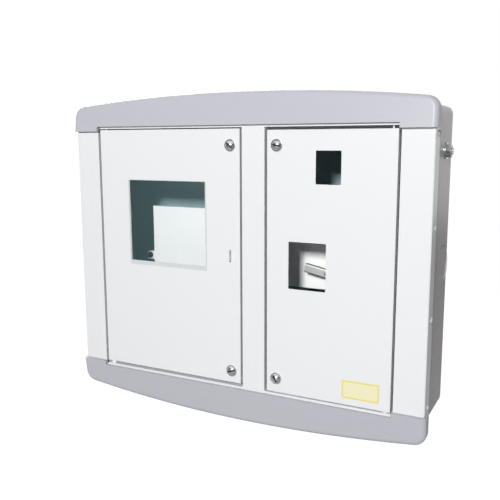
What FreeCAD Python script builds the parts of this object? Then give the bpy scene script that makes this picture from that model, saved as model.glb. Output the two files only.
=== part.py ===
import FreeCAD, Part
import math
import os

# Wall box for an electricity meter: a folded steel box, a white front frame with a
# window door and a switch door, and a moulded cap above and below.
# Millimetres, +Z up, front towards -Y, origin on the back face midway between the wall holes.

V = FreeCAD.Vector

# Doors: folded pans that hang on pins at their outer edges
DOOR_H = 375.6
LEFT_DOOR_W = 248.6
RIGHT_DOOR_W = 183.5
DOOR_SHEET = 1.2
DOOR_FLANGE = 10.0
DOOR_EDGE_R = 1.2
SIDE_GAP = 3.6
END_GAPS = 5.6

# Hinges: a headed pin above and below, with a spacer under each door
PIN_R = 2.5
PIN_HEAD_R = 4.0
PIN_HEAD_T = 2.0
PIN_PAST_FLANGE = 3.0
PIN_INSET = 8.0
PIN_BEHIND = 6.0
PIN_PLAY = 0.05
SPACER_R = 4.0
LEFT_SPACER_T = 3.9
RIGHT_SPACER_T = 1.4
SPACER_PLAY = 0.1

# Front frame: one folded sheet with a gutter round each door
FRAME_SHEET = 1.5
STRIP_W = 42.0
MULLION_W = 35.5
UPPER_RAIL_H = 30.4
LOWER_RAIL_H = 21.4
RETURN_D = 25.0
FRAME_CORNER_R = 14.0
FRAME_FOLD_R = 2.5
GUTTER_D = 19.0
LIP_W = 28.0
RELIEF_R = 3.0
RELIEF_D = 5.0

# Back box: folded sheet with round rear edges and a rim turned in at the front
DEPTH = 128.0
BOX_SHEET = 1.5
BOX_CLEARANCE = 1.5
BOX_SETBACK = 12.0
BOX_RIM = 12.0
BOX_REAR_R = 10.0
WALL_HOLE_SPAN_X = 450.0
WALL_HOLE_SPAN_Z = 340.0
WALL_HOLE_R = 4.0

# Knockouts: round weakened discs in the box walls
SIDE_KNOCKOUT_R = 25.0
SIDE_KNOCKOUT_Y = -36.0
SIDE_KNOCKOUT_Z = 4.0
END_KNOCKOUT_R = 16.0
END_KNOCKOUT_X = 150.0
END_KNOCKOUT_Y = -50.0
KNOCKOUT_GROOVE_W = 1.0
KNOCKOUT_GROOVE_D = 0.8

# Caps: moulded shells with an arched edge and a sloping face
CAP_OVERHANG = 3.0
TOP_CAP_PAST_RAIL = 19.6
TOP_CAP_RISE = 15.8
BOTTOM_CAP_PAST_RAIL = 34.4
BOTTOM_CAP_RISE = 19.5
CAP_CORNER_R = 18.0
CAP_EDGE_R = 7.0
CAP_PROUD = 6.0
CAP_TILT_DEG = 7.5
CAP_WALL = 2.5
CAP_WRAP = 14.0
CAP_BAND = 3.4
CAP_STRIP_LAP = 3.6
CAP_FIT = 0.3
CAP_PEG_R = 2.5
CAP_PEG_X = (-200.0, -70.0, 70.0, 200.0)
CAP_PEG_PAST_RAIL = 13.0
CAP_PEG_LENGTH = 7.0
CAP_RIB_T = 1.8
CAP_RIB_PITCH = 76.0
CAP_RIBS_EACH_SIDE = 3
PUSH_NUT_R = 6.0
PUSH_NUT_T = 0.8
PEG_FIT = 0.1

# Frame screws along both sides of the box
FRAME_SCREW_R = 2.0
FRAME_SCREW_HEAD_R = 4.2
FRAME_SCREW_HEAD_T = 2.0
FRAME_SCREW_PAST_BOX = 5.0
FRAME_SCREW_FROM_FRONT = 19.0
FRAME_SCREW_PITCH = 120.0
FRAME_SCREWS_PER_SIDE = 4
SCREW_FIT = 0.2

# Quarter-turn fasteners on the doors' free edges
FASTENER_INSET = 15.2
FASTENER_FROM_END = 21.0
FASTENER_HEAD_R = 8.6
FASTENER_FLANGE_T = 1.2
FASTENER_DOME_R = 7.2
FASTENER_DOME_H = 3.6
FASTENER_SLOT_W = 2.2
FASTENER_SLOT_D = 2.4
FASTENER_SHANK_R = 3.0
FASTENER_TIP_R = 2.0
FASTENER_TIP_H = 2.0
FASTENER_PAST_LIP = 4.0
FASTENER_PLAY = 0.08
FASTENER_HEAD_GAP = 0.2
FASTENER_LIP_CLEARANCE = 1.0
FASTENER_SLOT_ANGLES = (35.0, -20.0, 10.0, 60.0)
RING_R = 5.0
RING_T = 1.0
RING_FIT = 0.02

# Receptacles riveted behind the gutter, one for each fastener
RECEPTACLE_L = 28.0
RECEPTACLE_W = 14.0
RECEPTACLE_T = 1.2
RECEPTACLE_COLLAR_WALL = 1.4
RECEPTACLE_COLLAR_H = 3.0
RIVET_PITCH = 19.0
RIVET_R = 1.6
RIVET_HEAD_R = 2.8
RIVET_HEAD_T = 1.0
RIVET_FIT = 0.05

# Seal tongue that stands through a slot in the left door
SEAL_Z = 6.1
SEAL_INSET = 16.2
SEAL_SLOT_W = 3.2
SEAL_SLOT_H = 18.0
SEAL_BLADE_T = 2.0
SEAL_BLADE_H = 16.0
SEAL_BLADE_PROUD = 5.5
SEAL_BLADE_R = 3.0
SEAL_FOOT_W = 10.0
SEAL_FOOT_T = 1.5
SEAL_HOLE_R = 1.2

# Foam seal inside each door
SEAL_FOAM_W = 6.2
SEAL_FOAM_T = 8.8
SEAL_FOAM_GAP = 0.3

# Window in the left door
WINDOW_SIDE = 54.1
WINDOW_H = 132.8
WINDOW_DROP = 142.4
WINDOW_OFFSET = -1.4
WINDOW_CORNER_R = 1.5
PANE_LAP = 9.0
PANE_T = 3.0
PANE_GASKET_T = 1.5
PANE_GASKET_LIP = 1.0
PANE_GASKET_JAMB = 3.6
PANE_GASKET_SILL = 6.5
PANE_FIT = 0.5
RETAINER_LAP = 7.0
RETAINER_MARGIN = 10.0
RETAINER_T = 1.2
WINDOW_STUD_R = 2.0
WINDOW_STUD_LENGTH = 10.4
WINDOW_STUD_FIT = 0.3
WINDOW_NUT_FLATS = 7.0
WINDOW_NUT_T = 3.2

# Cut-outs for switches in the right door
UPPER_CUT_W = 36.0
UPPER_CUT_H = 45.0
UPPER_CUT_DROP = 28.0
UPPER_CUT_OFFSET = -1.2
LOWER_CUT_W = 55.3
LOWER_CUT_H = 66.9
LOWER_CUT_DROP = 153.1
LOWER_CUT_OFFSET = -30.5
CUT_CORNER_R = 1.5

# Plates inside the box and the posts that carry them
PLATE_FROM_BACK = 46.5
PLATE_SHEET = 1.5
PLATE_FLANGE = 8.0
PLATE_CORNER_R = 3.0
POST_R = 6.0
POST_SCREW_R = 2.5
POST_SCREW_DEPTH = 12.0
POST_SCREW_HEAD_R = 5.0
POST_SCREW_HEAD_T = 3.0
METER_PLATE_W = 168.0
METER_PLATE_H = 168.0
METER_PLATE_Z = -19.0
METER_EAR_L = 13.5
METER_EAR_W = 14.0
METER_EAR_HOLE = 7.0
METER_HOLE_SPAN = 100.0
METER_HOLE_Z = -66.0
METER_HOLE_R = 2.6
DEVICE_PLATE_W = 230.0
DEVICE_PLATE_H = 134.0
DEVICE_PLATE_Z = 18.0
DEVICE_POST_INSET = 15.0
CABLE_KNOCKOUT_R = 10.5
CABLE_KNOCKOUT_X = -49.2
CABLE_KNOCKOUT_Z = -14.3
CABLE_GROOVE_W = 2.0

# Earth bar on two insulating posts, hung a little out of level
BAR_L = 112.0
BAR_H = 13.4
BAR_T = 9.0
BAR_EDGE_R = 2.2
BAR_TILT_DEG = 11.4
BAR_START_X = -57.8
BAR_START_Z = -31.6
BAR_POST_R = 6.0
BAR_POST_H = 12.0
BAR_POST_FROM_END = 36.0
BAR_POST_SPAN = 62.0
BAR_SCREW_R = 2.0
BAR_SCREW_HEAD_R = 4.0
BAR_SCREW_HEAD_T = 2.4
BAR_SCREW_DEPTH = 6.0
TERMINALS = 4
TERMINAL_PITCH = 11.0
TERMINAL_HOLE_R = 2.6
TERMINAL_SCREW_R = 1.9
TERMINAL_HEAD_R = 3.0
TERMINAL_HEAD_T = 2.0

# Earth bolt through the right wall
EARTH_Y = -48.0
EARTH_Z = 157.5
EARTH_R = 5.0
EARTH_FLATS = 17.0
EARTH_HEAD_T = 6.4
EARTH_NUT_T = 6.0
EARTH_WASHER_R = 11.0
EARTH_WASHER_T = 2.0
EARTH_PAST_NUT = 2.0

# Places that follow from the sizes above
LEFT_OPEN_W = LEFT_DOOR_W + 2 * SIDE_GAP
RIGHT_OPEN_W = RIGHT_DOOR_W + 2 * SIDE_GAP
OPEN_H = DOOR_H + END_GAPS
FRAME_W = 2 * STRIP_W + MULLION_W + LEFT_OPEN_W + RIGHT_OPEN_W
FRONT = -DEPTH
LEFT_OPEN_X = (-FRAME_W / 2 + STRIP_W, -FRAME_W / 2 + STRIP_W + LEFT_OPEN_W)
RIGHT_OPEN_X = (FRAME_W / 2 - STRIP_W - RIGHT_OPEN_W, FRAME_W / 2 - STRIP_W)
OPEN_Z = (-OPEN_H / 2, OPEN_H / 2)
FRAME_Z = (OPEN_Z[0] - LOWER_RAIL_H, OPEN_Z[1] + UPPER_RAIL_H)
LIP_FRONT = FRONT + GUTTER_D - FRAME_SHEET
LIP_BACK = FRONT + GUTTER_D
DOOR_BACK = FRONT + DOOR_SHEET
LEFT_DOOR_X = (LEFT_OPEN_X[0] + SIDE_GAP, LEFT_OPEN_X[1] - SIDE_GAP)
RIGHT_DOOR_X = (RIGHT_OPEN_X[0] + SIDE_GAP, RIGHT_OPEN_X[1] - SIDE_GAP)
LEFT_DOOR_LOW = OPEN_Z[0] + LEFT_SPACER_T + SPACER_PLAY
RIGHT_DOOR_LOW = OPEN_Z[0] + RIGHT_SPACER_T + SPACER_PLAY
LEFT_DOOR_Z = (LEFT_DOOR_LOW, LEFT_DOOR_LOW + DOOR_H)
RIGHT_DOOR_Z = (RIGHT_DOOR_LOW, RIGHT_DOOR_LOW + DOOR_H)
LEFT_MID = sum(LEFT_DOOR_X) / 2
RIGHT_MID = sum(RIGHT_DOOR_X) / 2
HINGE_Y = FRONT + PIN_BEHIND
LEFT_HINGE_X = LEFT_DOOR_X[0] + PIN_INSET
RIGHT_HINGE_X = RIGHT_DOOR_X[1] - PIN_INSET
BOX_INSET = FRAME_SHEET + BOX_CLEARANCE
BOX_W = FRAME_W - 2 * BOX_INSET
BOX_Z = (FRAME_Z[0] + BOX_INSET, FRAME_Z[1] - BOX_INSET)
BOX_SIDE_R = FRAME_CORNER_R - BOX_INSET
BOX_FRONT = FRONT + BOX_SETBACK
BOX_INSIDE = -BOX_SHEET
PLATE_BACK = -PLATE_FROM_BACK
PLATE_FRONT = PLATE_BACK - PLATE_SHEET
LEFT_FASTENER_X = LEFT_DOOR_X[1] - FASTENER_INSET
RIGHT_FASTENER_X = RIGHT_DOOR_X[0] + FASTENER_INSET
LIP_HOLE_R = FASTENER_SHANK_R + FASTENER_LIP_CLEARANCE
FASTENER_Z = (RIGHT_DOOR_Z[0] + FASTENER_FROM_END, RIGHT_DOOR_Z[1] - FASTENER_FROM_END)
FASTENER_SPOTS = {
    "left_upper": (LEFT_FASTENER_X, FASTENER_Z[1]),
    "left_lower": (LEFT_FASTENER_X, FASTENER_Z[0]),
    "right_upper": (RIGHT_FASTENER_X, FASTENER_Z[1]),
    "right_lower": (RIGHT_FASTENER_X, FASTENER_Z[0]),
}
SEAL_X = LEFT_DOOR_X[1] - SEAL_INSET
WINDOW_W = LEFT_DOOR_W - 2 * WINDOW_SIDE
WINDOW_X = LEFT_MID + WINDOW_OFFSET
WINDOW_Z = LEFT_DOOR_Z[1] - WINDOW_DROP
GASKET_BACK = DOOR_BACK + PANE_GASKET_T
PANE_BACK = GASKET_BACK + PANE_T
RETAINER_BACK = PANE_BACK + RETAINER_T
PEG_Z = OPEN_Z[1] + CAP_PEG_PAST_RAIL


def block(x, y, z):
    """Rectangular solid between pairs of limits."""
    return Part.makeBox(x[1] - x[0], y[1] - y[0], z[1] - z[0], V(x[0], y[0], z[0]))


def centred(middle, size):
    """Pair of limits of a size about its middle."""
    return (middle - size / 2, middle + size / 2)


def grown(limits, amount):
    """Pair of limits moved outwards by an amount."""
    return (limits[0] - amount, limits[1] + amount)


def rod(radius, start, end):
    """Round bar between two points."""
    path = end - start
    return Part.makeCylinder(radius, path.Length, start, path)


def across(radius, x, z, y):
    """Round bar along Y between a pair of limits."""
    return rod(radius, V(x, y[0], z), V(x, y[1], z))


def edges_along(shape, direction):
    """Straight edges of a shape that run along a direction."""
    found = []
    for edge in shape.Edges:
        if edge.Curve.TypeId != "Part::GeomLine":
            continue
        if abs(abs(edge.tangentAt(edge.FirstParameter).dot(direction)) - 1) < 1e-6:
            found.append(edge)
    return found


def slab(x, y, z, radius):
    """Plate with rounded corners seen from the front."""
    solid = block(x, y, z)
    return solid.makeFillet(radius, edges_along(solid, V(0, 1, 0)))


def ring(x, z, y, inner_x, inner_z):
    """Rectangular ring seen from the front."""
    return block(x, y, z).cut(block(inner_x, grown(y, 1), inner_z))


def hexagon(flats, start, direction, length):
    """Six-sided bar from a point along a direction."""
    across_corners = flats / math.sqrt(3)
    side = V(0, 0, 1)
    turn = direction.cross(side)
    points = []
    for step in range(7):
        angle = math.radians(60 * step)
        offset = side * (across_corners * math.cos(angle)) + turn * (across_corners * math.sin(angle))
        points.append(start + offset)
    return Part.Face(Part.makePolygon(points)).extrude(direction * length)


def front_edges(shape, y, keep=lambda centre: True):
    """Edges of a shape that lie in a plane square to Y."""
    found = []
    for edge in shape.Edges:
        box = edge.BoundBox
        if abs(box.YMin - y) < 1e-6 and abs(box.YMax - y) < 1e-6 and keep(edge.CenterOfMass):
            found.append(edge)
    return found


def pan(x, y, z, sheet, edge_radius):
    """Folded tray open at the back, with its front edges rounded."""
    outer = block(x, y, z)
    outer = outer.makeFillet(edge_radius, front_edges(outer, y[0]))
    inner = block(grown(x, -sheet), (y[0] + sheet, y[1] + 1), grown(z, -sheet))
    return outer.cut(inner)


def pan_head_screw(radius, head_radius, head_height, start, direction, length):
    """Screw with a rounded pan head, its head seated at the start point."""
    base = start - direction * head_height
    head = Part.makeCylinder(head_radius, head_height, base, direction)
    rim = []
    for edge in head.Edges:
        if edge.Curve.TypeId == "Part::GeomCircle" and (edge.Curve.Center - base).Length < 1e-6:
            rim.append(edge)
    head = head.makeFillet(head_height * 0.6, rim)
    return head.fuse(Part.makeCylinder(radius, length, start, direction)).removeSplitter()


def back_box():
    """Box folded from one sheet, with round rear edges, a turned-in rim and its holes."""
    x = centred(0, BOX_W)
    z = BOX_Z
    outer = block(x, (BOX_FRONT, 0), z)
    outer = outer.makeFillet(BOX_SIDE_R, edges_along(outer, V(0, 1, 0)))
    outer = outer.makeFillet(BOX_REAR_R, front_edges(outer, 0))
    inner = block(grown(x, -BOX_SHEET), (BOX_FRONT + BOX_SHEET, BOX_INSIDE), grown(z, -BOX_SHEET))
    inner = inner.makeFillet(BOX_SIDE_R - BOX_SHEET, edges_along(inner, V(0, 1, 0)))
    inner = inner.makeFillet(BOX_REAR_R - BOX_SHEET, front_edges(inner, BOX_INSIDE))
    mouth = block(grown(x, -BOX_RIM), (BOX_FRONT - 1, BOX_FRONT + 2 * BOX_SHEET), grown(z, -BOX_RIM))
    cuts = [inner, mouth]
    for hole_x in centred(0, WALL_HOLE_SPAN_X):
        for hole_z in centred(0, WALL_HOLE_SPAN_Z):
            cuts.append(across(WALL_HOLE_R, hole_x, hole_z, (-2 * BOX_SHEET, 1)))
    for side, end_z in ((-1, BOX_Z[0]), (1, BOX_Z[1])):
        wall = V(side * BOX_W / 2, SIDE_KNOCKOUT_Y, SIDE_KNOCKOUT_Z)
        cuts.append(knockout_groove(SIDE_KNOCKOUT_R, KNOCKOUT_GROOVE_W, wall, V(-side, 0, 0)))
        for knockout_x in (-END_KNOCKOUT_X, END_KNOCKOUT_X):
            wall = V(knockout_x, END_KNOCKOUT_Y, end_z)
            cuts.append(knockout_groove(END_KNOCKOUT_R, KNOCKOUT_GROOVE_W, wall, V(0, 0, -side)))
    cuts.append(rod(EARTH_R + SCREW_FIT, V(BOX_W / 2 - 2 * BOX_SHEET, EARTH_Y, EARTH_Z),
                    V(BOX_W / 2 + 1, EARTH_Y, EARTH_Z)))
    for start, direction in frame_screw_spots():
        reach = 3 * BOX_SHEET + BOX_CLEARANCE
        cuts.append(Part.makeCylinder(FRAME_SCREW_R + SCREW_FIT, reach, start, direction))
    return outer.cut(cuts)


def knockout_groove(radius, width, centre, inwards):
    """Ring pressed into the outside of a wall round a knockout."""
    start = centre - inwards
    depth = KNOCKOUT_GROOVE_D + 1
    disc = Part.makeCylinder(radius, depth, start, inwards)
    return disc.cut(Part.makeCylinder(radius - width, depth, start, inwards))


def frame_screw_spots():
    """Seats of the frame screws on the frame's sides, and the way they point."""
    spots = []
    first = -FRAME_SCREW_PITCH * (FRAME_SCREWS_PER_SIDE - 1) / 2
    for side in (-1, 1):
        for step in range(FRAME_SCREWS_PER_SIDE):
            seat = V(side * FRAME_W / 2, FRONT + FRAME_SCREW_FROM_FRONT, first + step * FRAME_SCREW_PITCH)
            spots.append((seat, V(-side, 0, 0)))
    return spots


def frame_screws():
    """Pan-head screws that hold the frame on the box."""
    length = FRAME_SHEET + BOX_CLEARANCE + BOX_SHEET + FRAME_SCREW_PAST_BOX
    screws = []
    for seat, direction in frame_screw_spots():
        screws.append(pan_head_screw(FRAME_SCREW_R, FRAME_SCREW_HEAD_R, FRAME_SCREW_HEAD_T,
                                     seat, direction, length))
    return Part.makeCompound(screws)


def gutter(open_x):
    """Walls, floor and raised rim of the gutter round one door opening."""
    mouth_x = grown(open_x, -LIP_W)
    mouth_z = grown(OPEN_Z, -LIP_W)
    walls = ring(grown(open_x, FRAME_SHEET), grown(OPEN_Z, FRAME_SHEET), (FRONT, LIP_BACK), open_x, OPEN_Z)
    floor = ring(grown(open_x, FRAME_SHEET), grown(OPEN_Z, FRAME_SHEET), (LIP_FRONT, LIP_BACK),
                 mouth_x, mouth_z)
    rim_front = DOOR_BACK + SEAL_FOAM_T + SEAL_FOAM_GAP
    rim = ring(grown(mouth_x, FRAME_SHEET), grown(mouth_z, FRAME_SHEET), (rim_front, LIP_BACK),
               mouth_x, mouth_z)
    return walls.fuse([floor, rim])


def front_frame():
    """Folded front sheet with side returns, two door openings and their gutters."""
    x = centred(0, FRAME_W)
    z = FRAME_Z
    outer = slab(x, (FRONT, FRONT + RETURN_D), z, FRAME_CORNER_R)
    outer = outer.makeFillet(FRAME_FOLD_R, front_edges(outer, FRONT))
    inner = slab(grown(x, -FRAME_SHEET), (FRONT + FRAME_SHEET, FRONT + RETURN_D + 1),
                 grown(z, -FRAME_SHEET), FRAME_CORNER_R - FRAME_SHEET)
    sheet = outer.cut(inner)
    openings = []
    gutters = []
    for open_x in (LEFT_OPEN_X, RIGHT_OPEN_X):
        openings.append(block(open_x, (FRONT - 1, FRONT + 2 * FRAME_SHEET), OPEN_Z))
        gutters.append(gutter(open_x))
    solid = sheet.cut(openings).fuse(gutters).removeSplitter()
    cuts = []
    for relief_x in (LEFT_OPEN_X[0], RIGHT_OPEN_X[1]):
        for relief_z in OPEN_Z:
            cuts.append(across(RELIEF_R, relief_x, relief_z, (FRONT - 1, FRONT + RELIEF_D)))
    for hinge_x in (LEFT_HINGE_X, RIGHT_HINGE_X):
        for flange_z in (OPEN_Z[0] - FRAME_SHEET, OPEN_Z[1]):
            low = V(hinge_x, HINGE_Y, flange_z - 1)
            cuts.append(rod(PIN_R + PIN_PLAY, low, low + V(0, 0, FRAME_SHEET + 2)))
    for spot_x, spot_z in FASTENER_SPOTS.values():
        cuts.append(across(LIP_HOLE_R, spot_x, spot_z, (LIP_FRONT - 1, LIP_BACK + 1)))
        for rivet_z in centred(spot_z, RIVET_PITCH):
            cuts.append(across(RIVET_R + RIVET_FIT, spot_x, rivet_z, (LIP_FRONT - 1, LIP_BACK + 1)))
    for peg_x in CAP_PEG_X:
        for peg_z in (-PEG_Z, PEG_Z):
            cuts.append(across(CAP_PEG_R + CAP_FIT, peg_x, peg_z, (FRONT - 1, FRONT + 2 * FRAME_SHEET)))
    for seat, direction in frame_screw_spots():
        start = seat - direction
        cuts.append(Part.makeCylinder(FRAME_SCREW_R + SCREW_FIT, 2 * FRAME_SHEET, start, direction))
    return solid.cut(cuts)


def cap_outline(apex, rise, inset):
    """Front outline of a cap over the doors: stepped lower edge, straight sides and an arched top."""
    half = FRAME_W / 2 + CAP_OVERHANG
    arch_r = (half ** 2 + rise ** 2) / (2 * rise)
    half -= inset
    shoulder = apex - arch_r + math.sqrt((arch_r - inset) ** 2 - half ** 2)
    step_x = LEFT_DOOR_X[0] - SIDE_GAP / 2
    step_x = abs(step_x) + inset
    over_strip = OPEN_Z[1] - CAP_STRIP_LAP + inset
    over_door = OPEN_Z[1] + CAP_BAND + inset
    corners = [(-half, shoulder), (-half, over_strip), (-step_x, over_strip), (-step_x, over_door),
               (step_x, over_door), (step_x, over_strip), (half, over_strip), (half, shoulder)]
    points = [V(x, 0, z) for x, z in corners]
    sides = Part.makePolygon(points).Edges
    arch = Part.Arc(points[-1], V(0, 0, apex - inset), points[0]).toShape()
    return Part.Face(Part.Wire(sides + [arch])), shoulder, half


def cap_body(apex, rise, inset, front, back):
    """Cap outline carried back to a plane, with a sloping face, round corners and a round front edge."""
    face, shoulder, half = cap_outline(apex, rise, inset)
    face.translate(V(0, front, 0))
    solid = face.extrude(V(0, back - front, 0))
    corners = []
    for edge in edges_along(solid, V(0, 1, 0)):
        centre = edge.CenterOfMass
        if abs(abs(centre.x) - half) < 1e-3 and abs(centre.z - shoulder) < 1e-3:
            corners.append(edge)
    solid = solid.makeFillet(CAP_CORNER_R - inset, corners)
    solid = solid.cut(front_waste(front))
    slope = math.tan(math.radians(CAP_TILT_DEG))
    lower = OPEN_Z[1] - CAP_STRIP_LAP
    rounded = []
    for edge in solid.Edges:
        ends = (edge.valueAt(edge.FirstParameter), edge.valueAt(edge.LastParameter))
        on_face = all(abs(end.y - front - slope * (end.z - lower)) < 1e-3 for end in ends)
        at_side = abs(edge.CenterOfMass.x) > half - CAP_CORNER_R
        if on_face and (at_side or edge.CenterOfMass.z > shoulder) and edge.Length > CAP_EDGE_R:
            rounded.append(edge)
    return solid.makeFillet(CAP_EDGE_R - inset, rounded)


def moulded_cap(rail, past_rail, rise):
    """Moulded cap: arched shell with a sloping face, ribs behind the arch and fixing pegs."""
    front = FRONT - CAP_PROUD
    back = FRONT + CAP_WRAP
    frame_edge = OPEN_Z[1] + rail
    apex = frame_edge + past_rail
    outer = cap_body(apex, rise, 0, front, back)
    hollow = cap_body(apex, rise, CAP_WALL, front + CAP_WALL, back + 1)
    room = slab(grown(centred(0, FRAME_W), CAP_FIT), (FRONT, back + 1), (0, frame_edge + CAP_FIT),
                FRAME_CORNER_R + CAP_FIT)
    shell = outer.cut([hollow, room])
    additions = []
    for step in range(-CAP_RIBS_EACH_SIDE, CAP_RIBS_EACH_SIDE + 1):
        rib = block(centred(step * CAP_RIB_PITCH, CAP_RIB_T), (front, back - 1), (frame_edge + CAP_FIT, apex))
        additions.append(rib.common(outer))
    for peg_x in CAP_PEG_X:
        peg = across(CAP_PEG_R, peg_x, PEG_Z, (front, FRONT + CAP_PEG_LENGTH))
        collar = across(CAP_PEG_R + CAP_WALL, peg_x, PEG_Z, (front, FRONT))
        additions.append(peg.fuse(collar).cut(front_waste(front + CAP_WALL / 2)))
    return shell.fuse(additions).removeSplitter()


def front_waste(front):
    """Space in front of a cap's sloping face that starts at a plane."""
    reach = FRAME_W
    space = block((-reach, reach), (-reach, 0), (-reach, reach))
    space.rotate(V(0, 0, 0), V(1, 0, 0), -CAP_TILT_DEG)
    space.translate(V(0, front, OPEN_Z[1] - CAP_STRIP_LAP))
    return space


def turned_over(shape):
    """Copy of a shape turned half round about the Y axis."""
    copy = shape.copy()
    copy.rotate(V(0, 0, 0), V(0, 1, 0), 180)
    return copy


def cap_push_nuts():
    """Spring nuts pushed on the caps' pegs behind the frame."""
    nuts = []
    y = (FRONT + FRAME_SHEET, FRONT + FRAME_SHEET + PUSH_NUT_T)
    for peg_x in CAP_PEG_X:
        for peg_z in (-PEG_Z, PEG_Z):
            disc = across(PUSH_NUT_R, peg_x, peg_z, y)
            nuts.append(disc.cut(across(CAP_PEG_R + PEG_FIT, peg_x, peg_z, grown(y, 1))))
    return Part.makeCompound(nuts)


def door(x, z, hinge_x, fastener_names):
    """Folded door with pin holes in its end flanges and holes for its fasteners."""
    solid = pan(x, (FRONT, FRONT + DOOR_FLANGE), z, DOOR_SHEET, DOOR_EDGE_R)
    cuts = []
    for flange_z in (z[0], z[1] - DOOR_SHEET):
        low = V(hinge_x, HINGE_Y, flange_z - 1)
        cuts.append(rod(PIN_R + PIN_PLAY, low, low + V(0, 0, DOOR_SHEET + 2)))
    for name in fastener_names:
        spot_x, spot_z = FASTENER_SPOTS[name]
        cuts.append(across(FASTENER_SHANK_R + FASTENER_PLAY, spot_x, spot_z, (FRONT - 1, DOOR_BACK + 1)))
    return solid.cut(cuts)


def left_door():
    """Window door, with the slot for the seal tongue and the holes of the window studs."""
    solid = door(LEFT_DOOR_X, LEFT_DOOR_Z, LEFT_HINGE_X, ("left_upper", "left_lower"))
    y = (FRONT - 1, DOOR_BACK + 1)
    window = slab(centred(WINDOW_X, WINDOW_W), y, centred(WINDOW_Z, WINDOW_H), WINDOW_CORNER_R)
    slot = slab(centred(SEAL_X, SEAL_SLOT_W), y, centred(SEAL_Z, SEAL_SLOT_H), SEAL_SLOT_W / 2 - 0.01)
    return solid.cut([window, slot])


def right_door():
    """Switch door with its two cut-outs."""
    solid = door(RIGHT_DOOR_X, RIGHT_DOOR_Z, RIGHT_HINGE_X, ("right_upper", "right_lower"))
    y = (FRONT - 1, DOOR_BACK + 1)
    upper_top = RIGHT_DOOR_Z[1] - UPPER_CUT_DROP
    lower_top = RIGHT_DOOR_Z[1] - LOWER_CUT_DROP
    upper = slab(centred(RIGHT_MID + UPPER_CUT_OFFSET, UPPER_CUT_W), y,
                 (upper_top - UPPER_CUT_H, upper_top), CUT_CORNER_R)
    lower = slab(centred(RIGHT_MID + LOWER_CUT_OFFSET, LOWER_CUT_W), y,
                 (lower_top - LOWER_CUT_H, lower_top), CUT_CORNER_R)
    return solid.cut([upper, lower])


def hinge_pins(hinge_x, door_z):
    """Headed pins through the frame's gutter wall into the door's end flanges."""
    pins = []
    for outwards, wall, flange in ((1, OPEN_Z[1] + FRAME_SHEET, door_z[1] - DOOR_SHEET),
                                   (-1, OPEN_Z[0] - FRAME_SHEET, door_z[0] + DOOR_SHEET)):
        seat = V(hinge_x, HINGE_Y, wall)
        tip = V(hinge_x, HINGE_Y, flange - outwards * PIN_PAST_FLANGE)
        head = rod(PIN_HEAD_R, seat, seat + V(0, 0, outwards * PIN_HEAD_T))
        pins.append(head.fuse(rod(PIN_R, seat, tip)).removeSplitter())
    return Part.makeCompound(pins)


def hinge_spacers():
    """Nylon spacers on the lower pins, which carry the doors."""
    spacers = []
    for hinge_x, thickness in ((LEFT_HINGE_X, LEFT_SPACER_T), (RIGHT_HINGE_X, RIGHT_SPACER_T)):
        low = V(hinge_x, HINGE_Y, OPEN_Z[0])
        disc = rod(SPACER_R, low, low + V(0, 0, thickness))
        bore = rod(PIN_R + PIN_PLAY, low - V(0, 0, 1), low + V(0, 0, thickness + 1))
        spacers.append(disc.cut(bore))
    return Part.makeCompound(spacers)


def door_seal(door_x, door_z):
    """Foam strip inside a door that meets the gutter's rim."""
    middle = LIP_W - FRAME_SHEET / 2 - SIDE_GAP
    outer = middle - SEAL_FOAM_W / 2
    inner = middle + SEAL_FOAM_W / 2
    return ring(grown(door_x, -outer), grown(door_z, -outer), (DOOR_BACK, DOOR_BACK + SEAL_FOAM_T),
                grown(door_x, -inner), grown(door_z, -inner))


def fastener(spot, slot_angle):
    """Quarter-turn stud with a flanged, slotted dome head and a tapered tip."""
    x, z = spot
    seat = FRONT - FASTENER_HEAD_GAP
    crown = seat - FASTENER_FLANGE_T
    top = crown - FASTENER_DOME_H
    tip = LIP_BACK + FASTENER_PAST_LIP
    dome_r = (FASTENER_DOME_R ** 2 + FASTENER_DOME_H ** 2) / (2 * FASTENER_DOME_H)
    half_angle = math.asin(FASTENER_DOME_R / dome_r) / 2
    mid = V(x + dome_r * math.sin(half_angle), top + dome_r * (1 - math.cos(half_angle)), z)
    profile = [V(x + FASTENER_DOME_R, crown, z), V(x + FASTENER_HEAD_R, crown, z),
               V(x + FASTENER_HEAD_R, seat, z), V(x + FASTENER_SHANK_R, seat, z),
               V(x + FASTENER_SHANK_R, tip - FASTENER_TIP_H, z), V(x + FASTENER_TIP_R, tip, z),
               V(x, tip, z), V(x, top, z)]
    sides = Part.makePolygon(profile).Edges
    dome = Part.Arc(V(x, top, z), mid, profile[0]).toShape()
    solid = Part.Face(Part.Wire(sides + [dome])).revolve(V(x, 0, z), V(0, 1, 0), 360)
    slot = block(centred(x, 3 * FASTENER_HEAD_R), (top - 1, top + FASTENER_SLOT_D),
                 centred(z, FASTENER_SLOT_W))
    slot.rotate(V(x, 0, z), V(0, 1, 0), slot_angle)
    return solid.cut(slot)


def fastener_ring(spot):
    """Retaining ring pressed on a fastener behind its door."""
    x, z = spot
    y = (DOOR_BACK + FASTENER_HEAD_GAP, DOOR_BACK + FASTENER_HEAD_GAP + RING_T)
    return across(RING_R, x, z, y).cut(across(FASTENER_SHANK_R + RING_FIT, x, z, grown(y, 1)))


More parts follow.
